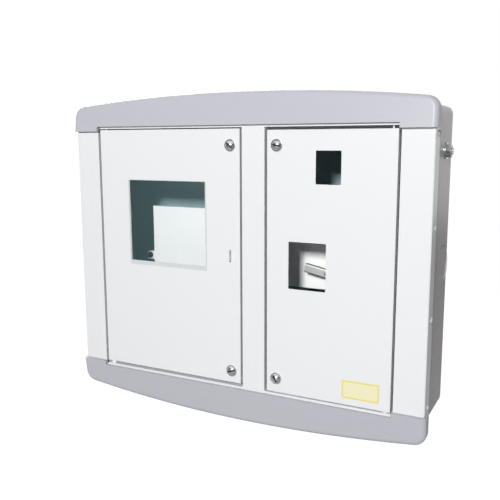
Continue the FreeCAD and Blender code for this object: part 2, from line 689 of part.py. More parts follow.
def fastener_receptacles():
    """Riveted spring plates with a collar round each fastener's tip."""
    plates = []
    y = (LIP_BACK, LIP_BACK + RECEPTACLE_T)
    for x, z in FASTENER_SPOTS.values():
        plate = slab(centred(x, RECEPTACLE_W), y, centred(z, RECEPTACLE_L), RECEPTACLE_W / 2 - 0.01)
        collar = across(LIP_HOLE_R + RECEPTACLE_COLLAR_WALL, x, z, (y[0], y[1] + RECEPTACLE_COLLAR_H))
        solid = plate.fuse(collar).cut(across(LIP_HOLE_R, x, z, (y[0] - 1, y[1] + RECEPTACLE_COLLAR_H + 1)))
        for rivet_z in centred(z, RIVET_PITCH):
            solid = solid.cut(across(RIVET_R + RIVET_FIT, x, rivet_z, grown(y, 1)))
        plates.append(solid)
    return Part.makeCompound(plates)


def receptacle_rivets():
    """Rivets through the gutter floor and the receptacle plates."""
    rivets = []
    back = LIP_BACK + RECEPTACLE_T
    for x, z in FASTENER_SPOTS.values():
        for rivet_z in centred(z, RIVET_PITCH):
            shank = across(RIVET_R, x, rivet_z, (LIP_FRONT, back))
            front_head = across(RIVET_HEAD_R, x, rivet_z, (LIP_FRONT - RIVET_HEAD_T, LIP_FRONT))
            back_head = across(RIVET_HEAD_R, x, rivet_z, (back, back + RIVET_HEAD_T))
            rivets.append(shank.fuse([front_head, back_head]).removeSplitter())
    return Part.makeCompound(rivets)


def seal_tongue():
    """Angle tab on the gutter floor whose blade stands through the door's slot."""
    blade_x = centred(SEAL_X, SEAL_BLADE_T)
    foot = block((blade_x[0], blade_x[0] + SEAL_FOOT_W), (LIP_FRONT - SEAL_FOOT_T, LIP_FRONT),
                 centred(SEAL_Z, SEAL_BLADE_H))
    tip = FRONT - SEAL_BLADE_PROUD
    blade = block(blade_x, (tip, LIP_FRONT), centred(SEAL_Z, SEAL_BLADE_H))
    corners = [edge for edge in front_edges(blade, tip) if edge.Length < SEAL_FOOT_W]
    blade = blade.makeFillet(SEAL_BLADE_R, corners)
    solid = foot.fuse(blade).removeSplitter()
    wire_hole = rod(SEAL_HOLE_R, V(blade_x[0] - 1, tip + 2 * SEAL_HOLE_R, SEAL_Z),
                    V(blade_x[1] + 1, tip + 2 * SEAL_HOLE_R, SEAL_Z))
    return solid.cut(wire_hole)


def window_frame(lap, inner_lap, y):
    """Ring round the window, from one distance outside its edge to another."""
    x = centred(WINDOW_X, WINDOW_W)
    z = centred(WINDOW_Z, WINDOW_H)
    return ring(grown(x, lap), grown(z, lap), y, grown(x, inner_lap), grown(z, inner_lap))


def window_gasket():
    """Strip between the door and the pane. Its lip shows inside the window's edge, widest along the sill."""
    x = centred(WINDOW_X, WINDOW_W)
    z = centred(WINDOW_Z, WINDOW_H)
    inner_x = (x[0] + PANE_GASKET_LIP, x[1] - PANE_GASKET_JAMB)
    inner_z = (z[0] + PANE_GASKET_SILL, z[1] - PANE_GASKET_LIP)
    return ring(grown(x, PANE_LAP), grown(z, PANE_LAP), (DOOR_BACK, GASKET_BACK), inner_x, inner_z)


def window_pane():
    """Clear pane behind the window."""
    lap = PANE_LAP - PANE_FIT
    return slab(grown(centred(WINDOW_X, WINDOW_W), lap), (GASKET_BACK, PANE_BACK),
                grown(centred(WINDOW_Z, WINDOW_H), lap), WINDOW_CORNER_R)


def window_stud_spots():
    """Places of the welded studs round the window."""
    reach = PANE_LAP + RETAINER_MARGIN / 2
    spots = []
    for x in centred(WINDOW_X, WINDOW_W + 2 * reach):
        for z in (WINDOW_Z - WINDOW_H / 2, WINDOW_Z, WINDOW_Z + WINDOW_H / 2):
            spots.append((x, z))
    return spots


def window_retainer():
    """Steel frame that clamps the pane against its gasket."""
    y = (PANE_BACK, RETAINER_BACK)
    solid = window_frame(PANE_LAP + RETAINER_MARGIN, PANE_LAP - RETAINER_LAP, y)
    holes = []
    for x, z in window_stud_spots():
        holes.append(across(WINDOW_STUD_R + WINDOW_STUD_FIT, x, z, grown(y, 1)))
    return solid.cut(holes)


def window_studs():
    """Studs welded inside the left door."""
    end = DOOR_BACK + WINDOW_STUD_LENGTH
    return Part.makeCompound([across(WINDOW_STUD_R, x, z, (DOOR_BACK, end)) for x, z in window_stud_spots()])


def window_nuts():
    """Nuts that press the retainer on the pane."""
    nuts = []
    for x, z in window_stud_spots():
        nut = hexagon(WINDOW_NUT_FLATS, V(x, RETAINER_BACK, z), V(0, 1, 0), WINDOW_NUT_T)
        nuts.append(nut.cut(across(WINDOW_STUD_R + RIVET_FIT, x, z, (PANE_BACK, 0))))
    return Part.makeCompound(nuts)


def plate_tray(mid_x, mid_z, width, height):
    """Mounting plate with its edges folded back."""
    x = centred(mid_x, width)
    z = centred(mid_z, height)
    return pan(x, (PLATE_FRONT, PLATE_BACK - PLATE_SHEET + PLATE_FLANGE), z, PLATE_SHEET, PLATE_SHEET)


def meter_post_spots():
    """Post places at the meter plate's two side ears and its lower ear."""
    reach = METER_PLATE_W / 2 + METER_EAR_HOLE
    low = METER_PLATE_Z - METER_PLATE_H / 2 - METER_EAR_HOLE
    return [(LEFT_MID - reach, METER_PLATE_Z), (LEFT_MID + reach, METER_PLATE_Z), (LEFT_MID, low)]


def meter_plate():
    """Plate for the meter, with three ears and two holes for the meter's feet."""
    solid = plate_tray(LEFT_MID, METER_PLATE_Z, METER_PLATE_W, METER_PLATE_H)
    y = (PLATE_FRONT, PLATE_BACK)
    root = PLATE_SHEET * 2
    side_ears = slab(centred(LEFT_MID, METER_PLATE_W + 2 * METER_EAR_L), y,
                     centred(METER_PLATE_Z, METER_EAR_W), PLATE_CORNER_R)
    inside = block(centred(LEFT_MID, METER_PLATE_W - 2 * root), grown(y, 1),
                   centred(METER_PLATE_Z, METER_PLATE_H - 2 * root))
    low = METER_PLATE_Z - METER_PLATE_H / 2
    lower_ear = slab(centred(LEFT_MID, METER_EAR_W), y, (low - METER_EAR_L, low + root + PLATE_CORNER_R),
                     PLATE_CORNER_R)
    solid = solid.fuse([side_ears.cut(inside), lower_ear.cut(inside)]).removeSplitter()
    holes = []
    for x, z in meter_post_spots():
        holes.append(across(POST_SCREW_R + SCREW_FIT, x, z, grown(y, 1)))
    for x in centred(LEFT_MID, METER_HOLE_SPAN):
        holes.append(across(METER_HOLE_R, x, METER_PLATE_Z + METER_HOLE_Z, grown(y, 1)))
    return solid.cut(holes)


def device_post_spots():
    """Post places near the corners of the device plate."""
    spots = []
    for x in centred(RIGHT_MID, DEVICE_PLATE_W - 2 * DEVICE_POST_INSET):
        for z in centred(DEVICE_PLATE_Z, DEVICE_PLATE_H - 2 * DEVICE_POST_INSET):
            spots.append((x, z))
    return spots


def bar_point(along):
    """Point on the earth bar's middle line at a distance from its left end."""
    angle = math.radians(BAR_TILT_DEG)
    start_x = RIGHT_MID + BAR_START_X
    start_z = DEVICE_PLATE_Z + BAR_START_Z
    return (start_x + along * math.cos(angle), start_z - along * math.sin(angle))


def bar_post_spots():
    """Places of the earth bar's posts on the device plate."""
    return [bar_point(BAR_POST_FROM_END), bar_point(BAR_POST_FROM_END + BAR_POST_SPAN)]


def device_plate():
    """Plate for the switchgear, with a cable knockout and the holes of its screws."""
    solid = plate_tray(RIGHT_MID, DEVICE_PLATE_Z, DEVICE_PLATE_W, DEVICE_PLATE_H)
    y = (PLATE_FRONT - 1, PLATE_BACK + 1)
    face = V(RIGHT_MID + CABLE_KNOCKOUT_X, PLATE_FRONT, DEVICE_PLATE_Z + CABLE_KNOCKOUT_Z)
    holes = [knockout_groove(CABLE_KNOCKOUT_R, CABLE_GROOVE_W, face, V(0, 1, 0))]
    for x, z in device_post_spots():
        holes.append(across(POST_SCREW_R + SCREW_FIT, x, z, y))
    return solid.cut(holes)


def plate_posts(spots):
    """Tapped posts on the back wall."""
    posts = []
    for x, z in spots:
        post = across(POST_R, x, z, (PLATE_BACK, BOX_INSIDE))
        bore = across(POST_SCREW_R + RIVET_FIT, x, z, (PLATE_BACK - 1, PLATE_BACK + POST_SCREW_DEPTH))
        posts.append(post.cut(bore))
    return Part.makeCompound(posts)


def plate_screws(spots):
    """Pan-head screws that hold a plate on its posts."""
    length = PLATE_SHEET + POST_SCREW_DEPTH - 1
    screws = []
    for x, z in spots:
        screws.append(pan_head_screw(POST_SCREW_R, POST_SCREW_HEAD_R, POST_SCREW_HEAD_T,
                                     V(x, PLATE_FRONT, z), V(0, 1, 0), length))
    return Part.makeCompound(screws)


def terminal_spots():
    """Terminal places between the earth bar's posts."""
    middle = BAR_POST_FROM_END + BAR_POST_SPAN / 2
    first = middle - TERMINAL_PITCH * (TERMINALS - 1) / 2
    return [bar_point(first + step * TERMINAL_PITCH) for step in range(TERMINALS)]


def earth_bar():
    """Rounded terminal bar with cross holes for wires and a screw hole over each."""
    back = PLATE_FRONT - BAR_POST_H
    front = back - BAR_T
    solid = block((0, BAR_L), (front, back), centred(0, BAR_H))
    solid = solid.makeFillet(BAR_EDGE_R, edges_along(solid, V(1, 0, 0)))
    solid.rotate(V(0, 0, 0), V(0, 1, 0), BAR_TILT_DEG)
    start_x, start_z = bar_point(0)
    solid.translate(V(start_x, 0, start_z))
    angle = math.radians(BAR_TILT_DEG)
    up = V(math.sin(angle), 0, math.cos(angle))
    cuts = []
    for x, z in bar_post_spots():
        cuts.append(across(BAR_SCREW_R + SCREW_FIT, x, z, (front - 1, back + 1)))
    for x, z in terminal_spots():
        middle = V(x, back - BAR_T / 2 + TERMINAL_HOLE_R / 2, z)
        cuts.append(rod(TERMINAL_HOLE_R, middle - up * BAR_H, middle + up * BAR_H))
        cuts.append(across(TERMINAL_SCREW_R + RIVET_FIT, x, z, (front - 1, middle.y)))
    return solid.cut(cuts)


def earth_bar_posts():
    """Insulating posts between the device plate and the earth bar."""
    posts = []
    y = (PLATE_FRONT - BAR_POST_H, PLATE_FRONT)
    for x, z in bar_post_spots():
        post = across(BAR_POST_R, x, z, y)
        posts.append(post.cut(across(BAR_SCREW_R + RIVET_FIT, x, z, (y[0] - 1, y[0] + BAR_SCREW_DEPTH))))
    return Part.makeCompound(posts)


def earth_bar_screws():
    """Screws that hold the earth bar, and its terminal screws."""
    front = PLATE_FRONT - BAR_POST_H - BAR_T
    screws = []
    for x, z in bar_post_spots():
        screws.append(pan_head_screw(BAR_SCREW_R, BAR_SCREW_HEAD_R, BAR_SCREW_HEAD_T,
                                     V(x, front, z), V(0, 1, 0), BAR_T + BAR_SCREW_DEPTH - 1))
    for x, z in terminal_spots():
        screws.append(pan_head_screw(TERMINAL_SCREW_R, TERMINAL_HEAD_R, TERMINAL_HEAD_T,
                                     V(x, front, z), V(0, 1, 0), BAR_T / 2 - TERMINAL_HOLE_R / 2))
    return Part.makeCompound(screws)


def earth_bolt():
    """Bolt from inside the right wall, its end standing out of the nut."""
    head = V(BOX_W / 2 - BOX_SHEET, EARTH_Y, EARTH_Z)
    end = V(BOX_W / 2 + EARTH_WASHER_T + EARTH_NUT_T + EARTH_PAST_NUT, EARTH_Y, EARTH_Z)
    hexagonal = hexagon(EARTH_FLATS, head, V(-1, 0, 0), EARTH_HEAD_T)
    return hexagonal.fuse(rod(EARTH_R, head, end)).removeSplitter()


def earth_washer():
    """Plain washer outside the right wall."""
    wall = V(BOX_W / 2, EARTH_Y, EARTH_Z)
    disc = Part.makeCylinder(EARTH_WASHER_R, EARTH_WASHER_T, wall, V(1, 0, 0))
    return disc.cut(Part.makeCylinder(EARTH_R + SCREW_FIT, 3 * EARTH_WASHER_T, wall - V(EARTH_WASHER_T, 0, 0),
                                      V(1, 0, 0)))


def earth_nut():
    """Nut that clamps an earth lead on the washer."""
    seat = V(BOX_W / 2 + EARTH_WASHER_T, EARTH_Y, EARTH_Z)
    nut = hexagon(EARTH_FLATS, seat, V(1, 0, 0), EARTH_NUT_T)
    bore_start = seat - V(EARTH_NUT_T, 0, 0)
    return nut.cut(Part.makeCylinder(EARTH_R + RIVET_FIT, 3 * EARTH_NUT_T, bore_start, V(1, 0, 0)))


def main():
    """Build every piece and write one STEP file for each."""
    pieces = {
        "back_box": back_box(),
        "front_frame": front_frame(),
        "frame_screws": frame_screws(),
        "top_cap": moulded_cap(UPPER_RAIL_H, TOP_CAP_PAST_RAIL, TOP_CAP_RISE),
        "bottom_cap": turned_over(moulded_cap(LOWER_RAIL_H, BOTTOM_CAP_PAST_RAIL, BOTTOM_CAP_RISE)),
        "cap_push_nuts": cap_push_nuts(),
        "left_door": left_door(),
        "right_door": right_door(),
        "left_hinge_pins": hinge_pins(LEFT_HINGE_X, LEFT_DOOR_Z),
        "right_hinge_pins": hinge_pins(RIGHT_HINGE_X, RIGHT_DOOR_Z),
        "hinge_spacers": hinge_spacers(),
        "left_door_seal": door_seal(LEFT_DOOR_X, LEFT_DOOR_Z),
        "right_door_seal": door_seal(RIGHT_DOOR_X, RIGHT_DOOR_Z),
        "fastener_receptacles": fastener_receptacles(),
        "receptacle_rivets": receptacle_rivets(),
        "seal_tongue": seal_tongue(),
        "window_gasket": window_gasket(),
        "window_pane": window_pane(),
        "window_retainer": window_retainer(),
        "window_studs": window_studs(),
        "window_nuts": window_nuts(),
        "meter_plate": meter_plate(),
        "meter_plate_posts": plate_posts(meter_post_spots()),
        "meter_plate_screws": plate_screws(meter_post_spots()),
        "device_plate": device_plate(),
        "device_plate_posts": plate_posts(device_post_spots()),
        "device_plate_screws": plate_screws(device_post_spots()),
        "earth_bar": earth_bar(),
        "earth_bar_posts": earth_bar_posts(),
        "earth_bar_screws": earth_bar_screws(),
        "earth_bolt": earth_bolt(),
        "earth_washer": earth_washer(),
        "earth_nut": earth_nut(),
    }
    for (name, spot), slot_angle in zip(FASTENER_SPOTS.items(), FASTENER_SLOT_ANGLES):
        pieces[name + "_fastener"] = fastener(spot, slot_angle)
        pieces[name + "_ring"] = fastener_ring(spot)
    os.makedirs("parts", exist_ok=True)
    for name, shape in pieces.items():
        shape.exportStep("parts/" + name + ".step")


main()
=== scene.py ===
import math
from collections import namedtuple

import bmesh
import bpy
import numpy as np
from mathutils import Matrix, Vector


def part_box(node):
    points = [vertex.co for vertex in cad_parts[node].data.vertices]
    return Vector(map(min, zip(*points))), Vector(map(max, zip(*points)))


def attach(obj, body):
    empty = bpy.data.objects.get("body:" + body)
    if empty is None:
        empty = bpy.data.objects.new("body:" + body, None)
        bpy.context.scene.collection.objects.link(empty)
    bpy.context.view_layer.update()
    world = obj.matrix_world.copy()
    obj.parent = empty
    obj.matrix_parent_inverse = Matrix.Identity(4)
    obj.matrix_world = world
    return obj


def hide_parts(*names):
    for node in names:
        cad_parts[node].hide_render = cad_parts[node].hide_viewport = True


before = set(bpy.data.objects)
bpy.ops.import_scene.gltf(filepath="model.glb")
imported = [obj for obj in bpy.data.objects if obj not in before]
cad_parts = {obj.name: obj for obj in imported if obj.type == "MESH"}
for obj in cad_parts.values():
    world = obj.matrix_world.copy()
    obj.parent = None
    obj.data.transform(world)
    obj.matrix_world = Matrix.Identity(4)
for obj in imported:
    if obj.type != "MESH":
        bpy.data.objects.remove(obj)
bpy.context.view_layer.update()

bl_info = {
    "name": "Electric meter box",
    "version": (1, 0, 0),
    "blender": (4, 5, 0),
    "location": "View3D > Sidebar > Meter box",
    "description": "Finishes, small hardware and a studio for a wall box for an electricity meter",
    "category": "Object",
}

MM = 0.001
PICTURE_PIXELS = 500
SENSOR_MM = 36.0
FULL_TURN = 2 * math.pi
UP = np.array((0.0, 0.0, 1.0))
FRONTWARDS = np.array((0.0, -1.0, 0.0))
BACKWARDS = np.array((0.0, 1.0, 0.0))
RIGHTWARDS = np.array((1.0, 0.0, 0.0))

# Points nearer than WELD become one, and a face is in a wall when its middle is within HAIR of it
WELD = 1e-7
HAIR = 2e-6
SHARP_ANGLE = math.radians(34)

# Points round or along the small pieces
CORNER_STEPS, GASKET_STEPS, SEAL_STEPS, LIP_STEPS = 7, 9, 17, 97
DOME_RINGS, DOME_STEPS, SLOT_STEPS, SHOULDER_STEPS = 12, 33, 7, 5
ARM_STEPS, HEXAGON_STEPS, THREAD_STEPS, ROWS_PER_PITCH = 5, 73, 25, 8

# Bevels of flanges and film as a share of their thickness, and the power that squares the seals
BEVEL_SHARE = 0.3
SEAL_SQUARENESS = 0.7

# Cross-recess screws, as shares of the head's radius or height, and the tip as one of the shank's
RECESS_ARM = 0.55
RECESS_HALF_WIDTH = 0.15
RECESS_DEPTH = 0.55
RECESS_FLOOR = 0.72
HEAD_SAG = 0.22
HEAD_RIM = 0.45
SCREW_TIP = 0.5

# Nuts and threads: where the chamfer starts, the bore's lead-in and the thread's depth, as shares
# of half the flats, the bore and the pitch
CHAMFER_START = 0.97
CHAMFER_ANGLE = math.radians(30)
LEAD_IN = 0.12
THREAD_DEPTH = 0.6

# First screw's turn and the step to the next in radians, so that no two recesses stand alike
FRAME_SCREW_TURNS = (0.4, 0.9)
PLATE_SCREW_TURNS = (0.3, 0.7)
BAR_SCREW_TURNS = (0.2, 0.8)
FRAME_SCREWS_PER_SIDE = 4
STUDS_PER_SIDE = 3
NUT_TURN = math.radians(30)

# Earth bar: terminal screws along it from the first post, and the second post
BAR_TERMINALS_MM = (14.5, 25.5, 36.5, 47.5)
BAR_POSTS_MM = 62.0
BAR_SLANT = math.radians(-11.4)

# Knockout lips: rise over run towards the highest place, the inner wall as a share of the height,
# and both ends of the ridge as shares of the width
LIP_LEAN = -1.7
LIP_WALL = 0.8
LIP_RIDGE = (0.1, 0.3)

# Cosines between which the wall behind, the ceiling and the screen at the key light turn white
WALL_EDGE, CEILING_EDGE, SCREEN_EDGE = (-0.3, 0.2), (0.45, 0.65), (0.82, 0.92)

# Texture's kind, size in millimetres and detail, and how its coordinates are stretched and turned
Pattern = namedtuple("Pattern", "kind size_mm detail stretch turn",
                     defaults=((1.0, 1.0, 1.0), 0.0))


def linear(code):
    """Linear red, green, blue and alpha of an sRGB hex colour."""
    parts = [int(code[i:i + 2], 16) / 255 for i in (0, 2, 4)]
    return tuple(c / 12.92 if c <= 0.04045 else ((c + 0.055) / 1.055) ** 2.4
                 for c in parts) + (1.0,)


def per_metre(size_mm):
    """Texture scale whose features are about a size in millimetres."""
    return 1000.0 / size_mm


def colour(label, words, code):
    """Colour property that starts from an sRGB hex value."""
    return bpy.props.FloatVectorProperty(name=label, description=words, subtype="COLOR", size=4,
                                         min=0.0, max=1.0, default=linear(code))


def length(label, words, millimetres):
    """Length property that starts from a size in millimetres."""
    return bpy.props.FloatProperty(name=label, description=words, unit="LENGTH", precision=5,
                                   default=millimetres * MM)


def number(label, words, value, unit="NONE"):
    """Number property in Blender's own units."""
    return bpy.props.FloatProperty(name=label, description=words, unit=unit, default=value)


def heading(label, words, value):
    """Direction property."""
    return bpy.props.FloatVectorProperty(name=label, description=words, subtype="DIRECTION",
                                         default=value)


def node(tree, kind, inputs=None, **settings):
    """Add a node, set its properties, and fill or link its inputs by name or number."""
    made = tree.nodes.new(kind)
    for name, value in settings.items():
        setattr(made, name, value)
    for name, value in (inputs or {}).items():
        if isinstance(value, bpy.types.NodeSocket):
            tree.links.new(value, made.inputs[name])
        else:
            made.inputs[name].default_value = value
    return made


def start_material(name, **constants):
    """New node material, its tree, its surface shader and its Object coordinates."""
    material = bpy.data.materials.new(name)
    material.use_nodes = True
    tree = material.node_tree
    shader = tree.nodes["Principled BSDF"]
    for socket, value in constants.items():
        shader.inputs[socket.replace("_", " ")].default_value = value
    place = node(tree, "ShaderNodeTexCoord").outputs["Object"]
    return material, tree, shader, place


def patterned(name, tone, darkest, clouds, sheen, roughs, relief=(), **constants):
    """New material whose colour, roughness and relief follow patterns.

    Clouds carry the colour from a darker tone to the full one, sheen carries the roughness between
    two values, and a relief is a pattern of heights, its strength and its depth in millimetres.
    """
    material, tree, shader, place = start_material(name, **constants)
    drawn = []
    for kind, size_mm, detail, stretch, turn in (clouds, sheen, *relief[:1]):
        lay = node(tree, "ShaderNodeMapping",
                   {"Vector": place, "Rotation": (0.0, turn, 0.0), "Scale": stretch}).outputs[0]
        texture = node(tree, "ShaderNodeTex" + kind,
                       {"Vector": lay, "Scale": per_metre(size_mm), "Detail": detail})
        drawn.append(texture.outputs[0])
    tone = tuple(tone)
    low = [c * darkest for c in tone[:3]] + [1.0]
    shade = node(tree, "ShaderNodeMix", {0: drawn[0], 6: low, 7: tone}, data_type="RGBA")
    gloss = node(tree, "ShaderNodeMapRange",
                 {"Value": drawn[1], "To Min": roughs[0], "To Max": roughs[1]})
    tree.links.new(shade.outputs[2], shader.inputs["Base Color"])
    tree.links.new(gloss.outputs[0], shader.inputs["Roughness"])
    if relief:
        _, strength, depth_mm = relief
        bump = node(tree, "ShaderNodeBump",
                    {"Height": drawn[2], "Strength": strength, "Distance": depth_mm * MM})
        tree.links.new(bump.outputs[0], shader.inputs["Normal"])
    return material


def dress(material, *names):
    """Give CAD nodes a material in place of their own."""
    for name in names:
        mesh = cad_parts[name].data
        mesh.materials.clear()
        mesh.materials.append(material)


def corners_of(name):
    """Lowest and highest corner of a CAD node, as arrays."""
    low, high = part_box(name)
    return np.array(low), np.array(high)


def weld(sheets):
    """Points and faces of grids: each cell is a face, and points that coincide are made one.

    A cell that has lost a side at a pole becomes a triangle, and one that has lost two is left out.
    """
    points, cells, start = [], [], 0
    for sheet in sheets:
        rows, columns = sheet.shape[:2]
        index = start + np.arange(rows * columns).reshape(rows, columns)
        cell = np.stack([index[:-1, :-1], index[:-1, 1:], index[1:, 1:], index[1:, :-1]], -1)
        cells.append(cell.reshape(-1, 4))
        points.append(sheet.reshape(-1, 3))
        start += rows * columns
    points = np.concatenate(points)
    keys = np.round(points / WELD).astype(np.int64)
    first, inverse = np.unique(keys, axis=0, return_index=True, return_inverse=True)[1:]
    faces = inverse.reshape(-1)[np.concatenate(cells)]
    same = faces == np.roll(faces, -1, axis=1)
    lost_one = same.sum(1) == 1
    keep = np.arange(4) != same[lost_one].argmax(1)[:, None]
    triangles = faces[lost_one][keep].reshape(-1, 3)
    return points[first], faces[~same.any(1)].tolist() + triangles.tolist()


def piece(name, body, materials, sheets, replaced=(), pick=None):
    """Closed mesh from grids, at the origin, that rides on a body and stands for CAD nodes.

    pick is a function of the faces' centres that gives each face the number of its material.
    """
    points, faces = weld(sheets)
    mesh = bpy.data.meshes.new(name)
    mesh.from_pydata(points, [], faces)
    shell = bmesh.new()
    shell.from_mesh(mesh)
    bmesh.ops.recalc_face_normals(shell, faces=shell.faces)
    shell.to_mesh(mesh)
    shell.free()
    mesh.shade_smooth()
    mesh.set_sharp_from_angle(angle=SHARP_ANGLE)
    for material in materials:
        mesh.materials.append(material)
    if pick:
        centres = np.empty(3 * len(mesh.polygons), np.float32)
        mesh.polygons.foreach_get("center", centres)
        chosen = pick(centres.reshape(-1, 3)).astype(np.int32)
        mesh.polygons.foreach_set("material_index", chosen)
    made = bpy.data.objects.new(name, mesh)
    bpy.context.scene.collection.objects.link(made)
    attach(made, body)
    if replaced:
        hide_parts(*replaced)
    return made


def placed(sheets, origin, outwards, spin=0.0):
    """Grids moved to a place: their Z points outwards and their Y up, turned by spin."""
    side = np.cross(UP, outwards)
    across = math.cos(spin) * side + math.sin(spin) * UP
    along = math.cos(spin) * UP - math.sin(spin) * side
    return [sheet @ np.stack([across, along, outwards]) + origin for sheet in sheets]


def polar(radius, angle, height):
    """Grid of points at a radius and an angle round Z, and at a height."""
    radius, angle, height = np.broadcast_arrays(radius, angle, height)
    return np.stack([radius * np.cos(angle), radius * np.sin(angle), height], -1)


def turned(profile, angles):
    """Profile of radius and height pairs carried round Z through the angles.

    A radius or a height is a number, or an array with a value for each angle.
    """
    level = np.zeros_like(angles)
    radius = np.stack([r + level for r, z in profile])
    height = np.stack([z + level for r, z in profile])
    return polar(radius, angles, height)


def rounded_loop(middle, half, corner, insets, depths):
    """Profile carried round a rectangle with round corners, seen from the front.

    A profile point at inset q runs on the rectangle made smaller by q. Its corner arcs keep their
    centres and lose q from their radius, and once the radius is used up the corners themselves move
    in. Depth is along Y.
    """
    insets = np.array(insets, float)[:, None]
    arc = np.linspace(0, 90, CORNER_STEPS)
    turn = np.radians(np.add.outer([0, 90, 180, 270], arc).reshape(-1))
    sign_x = np.repeat([1, -1, -1, 1], CORNER_STEPS)
    sign_z = np.repeat([1, 1, -1, -1], CORNER_STEPS)
    radius = np.maximum(corner - insets, 0.0)
    reach = np.maximum(insets, corner)
    x = middle[0] + sign_x * (half[0] - reach) + radius * np.cos(turn)
    z = middle[2] + sign_z * (half[1] - reach) + radius * np.sin(turn)
    y = middle[1] + np.array(depths, float)[:, None]
    loop = np.stack(np.broadcast_arrays(x, y, z), -1)
    return np.concatenate([loop, loop[:, :1]], axis=1)


class MeterBoxSizes(bpy.types.PropertyGroup):
    """Sizes of the small pieces."""

    box_corner: length("Box corner", "Outer radius of the back box's edges", 11.0)
    box_sheet: length("Box sheet", "Thickness of the back box's sheet", 1.5)
    knockout_radius: length("Knockout", "Radius of the lip round a side knockout", 25.1)
    knockout_from_wall: length("Knockout from wall", "From the wall to its middle", 36.0)
    knockout_height: length("Knockout height", "Its middle above the box's middle", 4.0)
    lip_width: length("Lip width", "Width of the lip round a side knockout", 3.0)
    lip_rise: length("Lip rise", "Greatest height of the lip", 1.7)
    lip_bed: length("Lip bed", "Depth of the lip in the wall", 0.4)
    gasket_lap: length("Gasket lap", "What the window gasket laps behind the door", 9.0)
    gasket_lip: length("Gasket lip", "What the gasket shows inside the window's edge", 1.0)
    gasket_jamb: length("Gasket jamb", "What the gasket shows on the fastener side", 3.6)
    gasket_sill: length("Gasket sill", "What the gasket shows along the sill", 6.5)
    seal_width: length("Seal width", "Width of the door seals", 6.2)
    seal_corner: length("Seal corner", "Outer corner radius of the door seals", 12.0)
    flange: length("Fastener flange", "Thickness of a fastener's flange", 1.2)
    dome_radius: length("Dome radius", "Radius of a fastener's dome at its flange", 7.2)
    dome_height: length("Dome height", "Height of a fastener's dome", 3.6)
    slot_width: length("Slot width", "Width of a fastener's slot", 2.2)
    slot_depth: length("Slot depth", "Depth of its slot below the top of its dome", 2.4)
    shank_radius: length("Shank radius", "Radius of a fastener's shank", 3.0)
    tip_radius: length("Tip radius", "Radius of a fastener's flat end", 2.0)
    screw_head: length("Frame screw head", "Height of a frame screw's head", 2.0)
    screw_radius: length("Frame screw", "Radius of a frame screw", 2.0)
    screw_length: length("Frame screw length", "Its length under its head", 9.5)
    plate_screw_head: length("Plate screw head", "Height of a plate screw's head", 3.0)
    plate_screw_radius: length("Plate screw", "Radius of a plate screw", 2.5)
    bar_screw_head: length("Bar screw head", "Height of the bar's fixing screws' heads", 2.4)
    bar_screw_radius: length("Bar screw", "Radius of the bar's fixing screws", 2.0)
    bar_screw_head_radius: length("Bar screw head radius", "Radius of those heads", 4.0)
    terminal_head: length("Terminal screw head", "Height of a terminal screw's head", 2.0)
    terminal_radius: length("Terminal screw", "Radius of a terminal screw", 1.9)
    terminal_head_radius: length("Terminal screw head radius", "Radius of that head", 3.0)
    terminal_length: length("Terminal screw length", "Its length under its head", 3.2)
    stud_radius: length("Window stud", "Radius of a window stud", 2.0)
    stud_pitch: length("Stud thread", "Pitch of the window studs' thread", 0.7)
    nut_flats: length("Window nut", "Window nuts across their flats", 7.0)
    bolt_radius: length("Earth bolt", "Radius of the earth bolt", 5.0)
    bolt_pitch: length("Earth thread", "Pitch of the earth bolt's thread", 1.5)
    bolt_flats: length("Earth nut", "Earth bolt's head and nut across their flats", 17.0)
    bolt_head: length("Earth bolt head", "Height of the earth bolt's head", 6.4)
    thread_fit: length("Thread fit", "Gap between a thread's crest and its nut", 0.05)
    label_width: length("Label width", "Width of the plain label", 53.0)
    label_height: length("Label height", "Height of the plain label", 26.0)
    label_border: length("Label border", "Width of the label's border", 2.4)
    label_corner: length("Label corner", "Corner radius of the label", 1.6)
    label_thickness: length("Label thickness", "Thickness of the label film", 0.15)
    label_glue: length("Label glue", "Film of glue between the door and the label", 0.02)
    label_from_edge: length("Label from edge", "From the hinge edge to the label's middle", 42.0)
    label_from_foot: length("Label from foot", "From the lower edge to the label's middle", 23.0)


class MeterBoxFinish(bpy.types.PropertyGroup):
    """Colours of the finishes."""

    door_paint: colour("Door paint", "White powder coat on the frame and the doors", "D7D8D9")
    box_paint: colour("Box paint", "Light grey powder coat on the back box", "ABA6A6")
    # Painted shade: this grey darkens the frame screw heads to the shade of the return they sit on
    screw_shade_tone: colour("Screw paint", "Thin grey powder coat on the frame screws", "A8A6A6")
    primer: colour("Primer", "Blue-grey primer left bare inside the back box", "A0BABF")
    plate_paint: colour("Plate paint", "White powder coat on the inner plates", "F8F9F9")
    cap_plastic: colour("Cap plastic", "Grey moulded ABS of the caps", "B0B0B7")
    zinc: colour("Zinc", "Zinc-plated steel of screws, nuts and brackets", "C3C6C6")
    chrome: colour("Nickel", "Bright plating of the fasteners", "DCDFE0")
    # Painted shade: this dark grey stands for the shade inside the fasteners' slots
    cast: colour("Casting", "Unpolished slots of the fasteners", "4C4F50")
    black_steel: colour("Black steel", "Blackened steel of the meter plate's screws", "1B1C1D")
    tin: colour("Tin", "Tin plating of the earth bar", "D8D9D6")
    insulator: colour("Insulator", "Moulded insulating posts", "4A2A22")
    nylon: colour("Nylon", "Hinge spacers", "E6E3D8")
    foam: colour("Foam", "Door seals", "1E1F20")
    gasket: colour("Gasket", "Grey rubber lip round the pane", "C9CBCB")
    pane: colour("Pane", "Clear sheet in the window", "98C2C6")
    label_edge: colour("Label edge", "Border of the plain label", "DACD72")
    label_field: colour("Label field", "Field of the plain label", "DDD8B4")


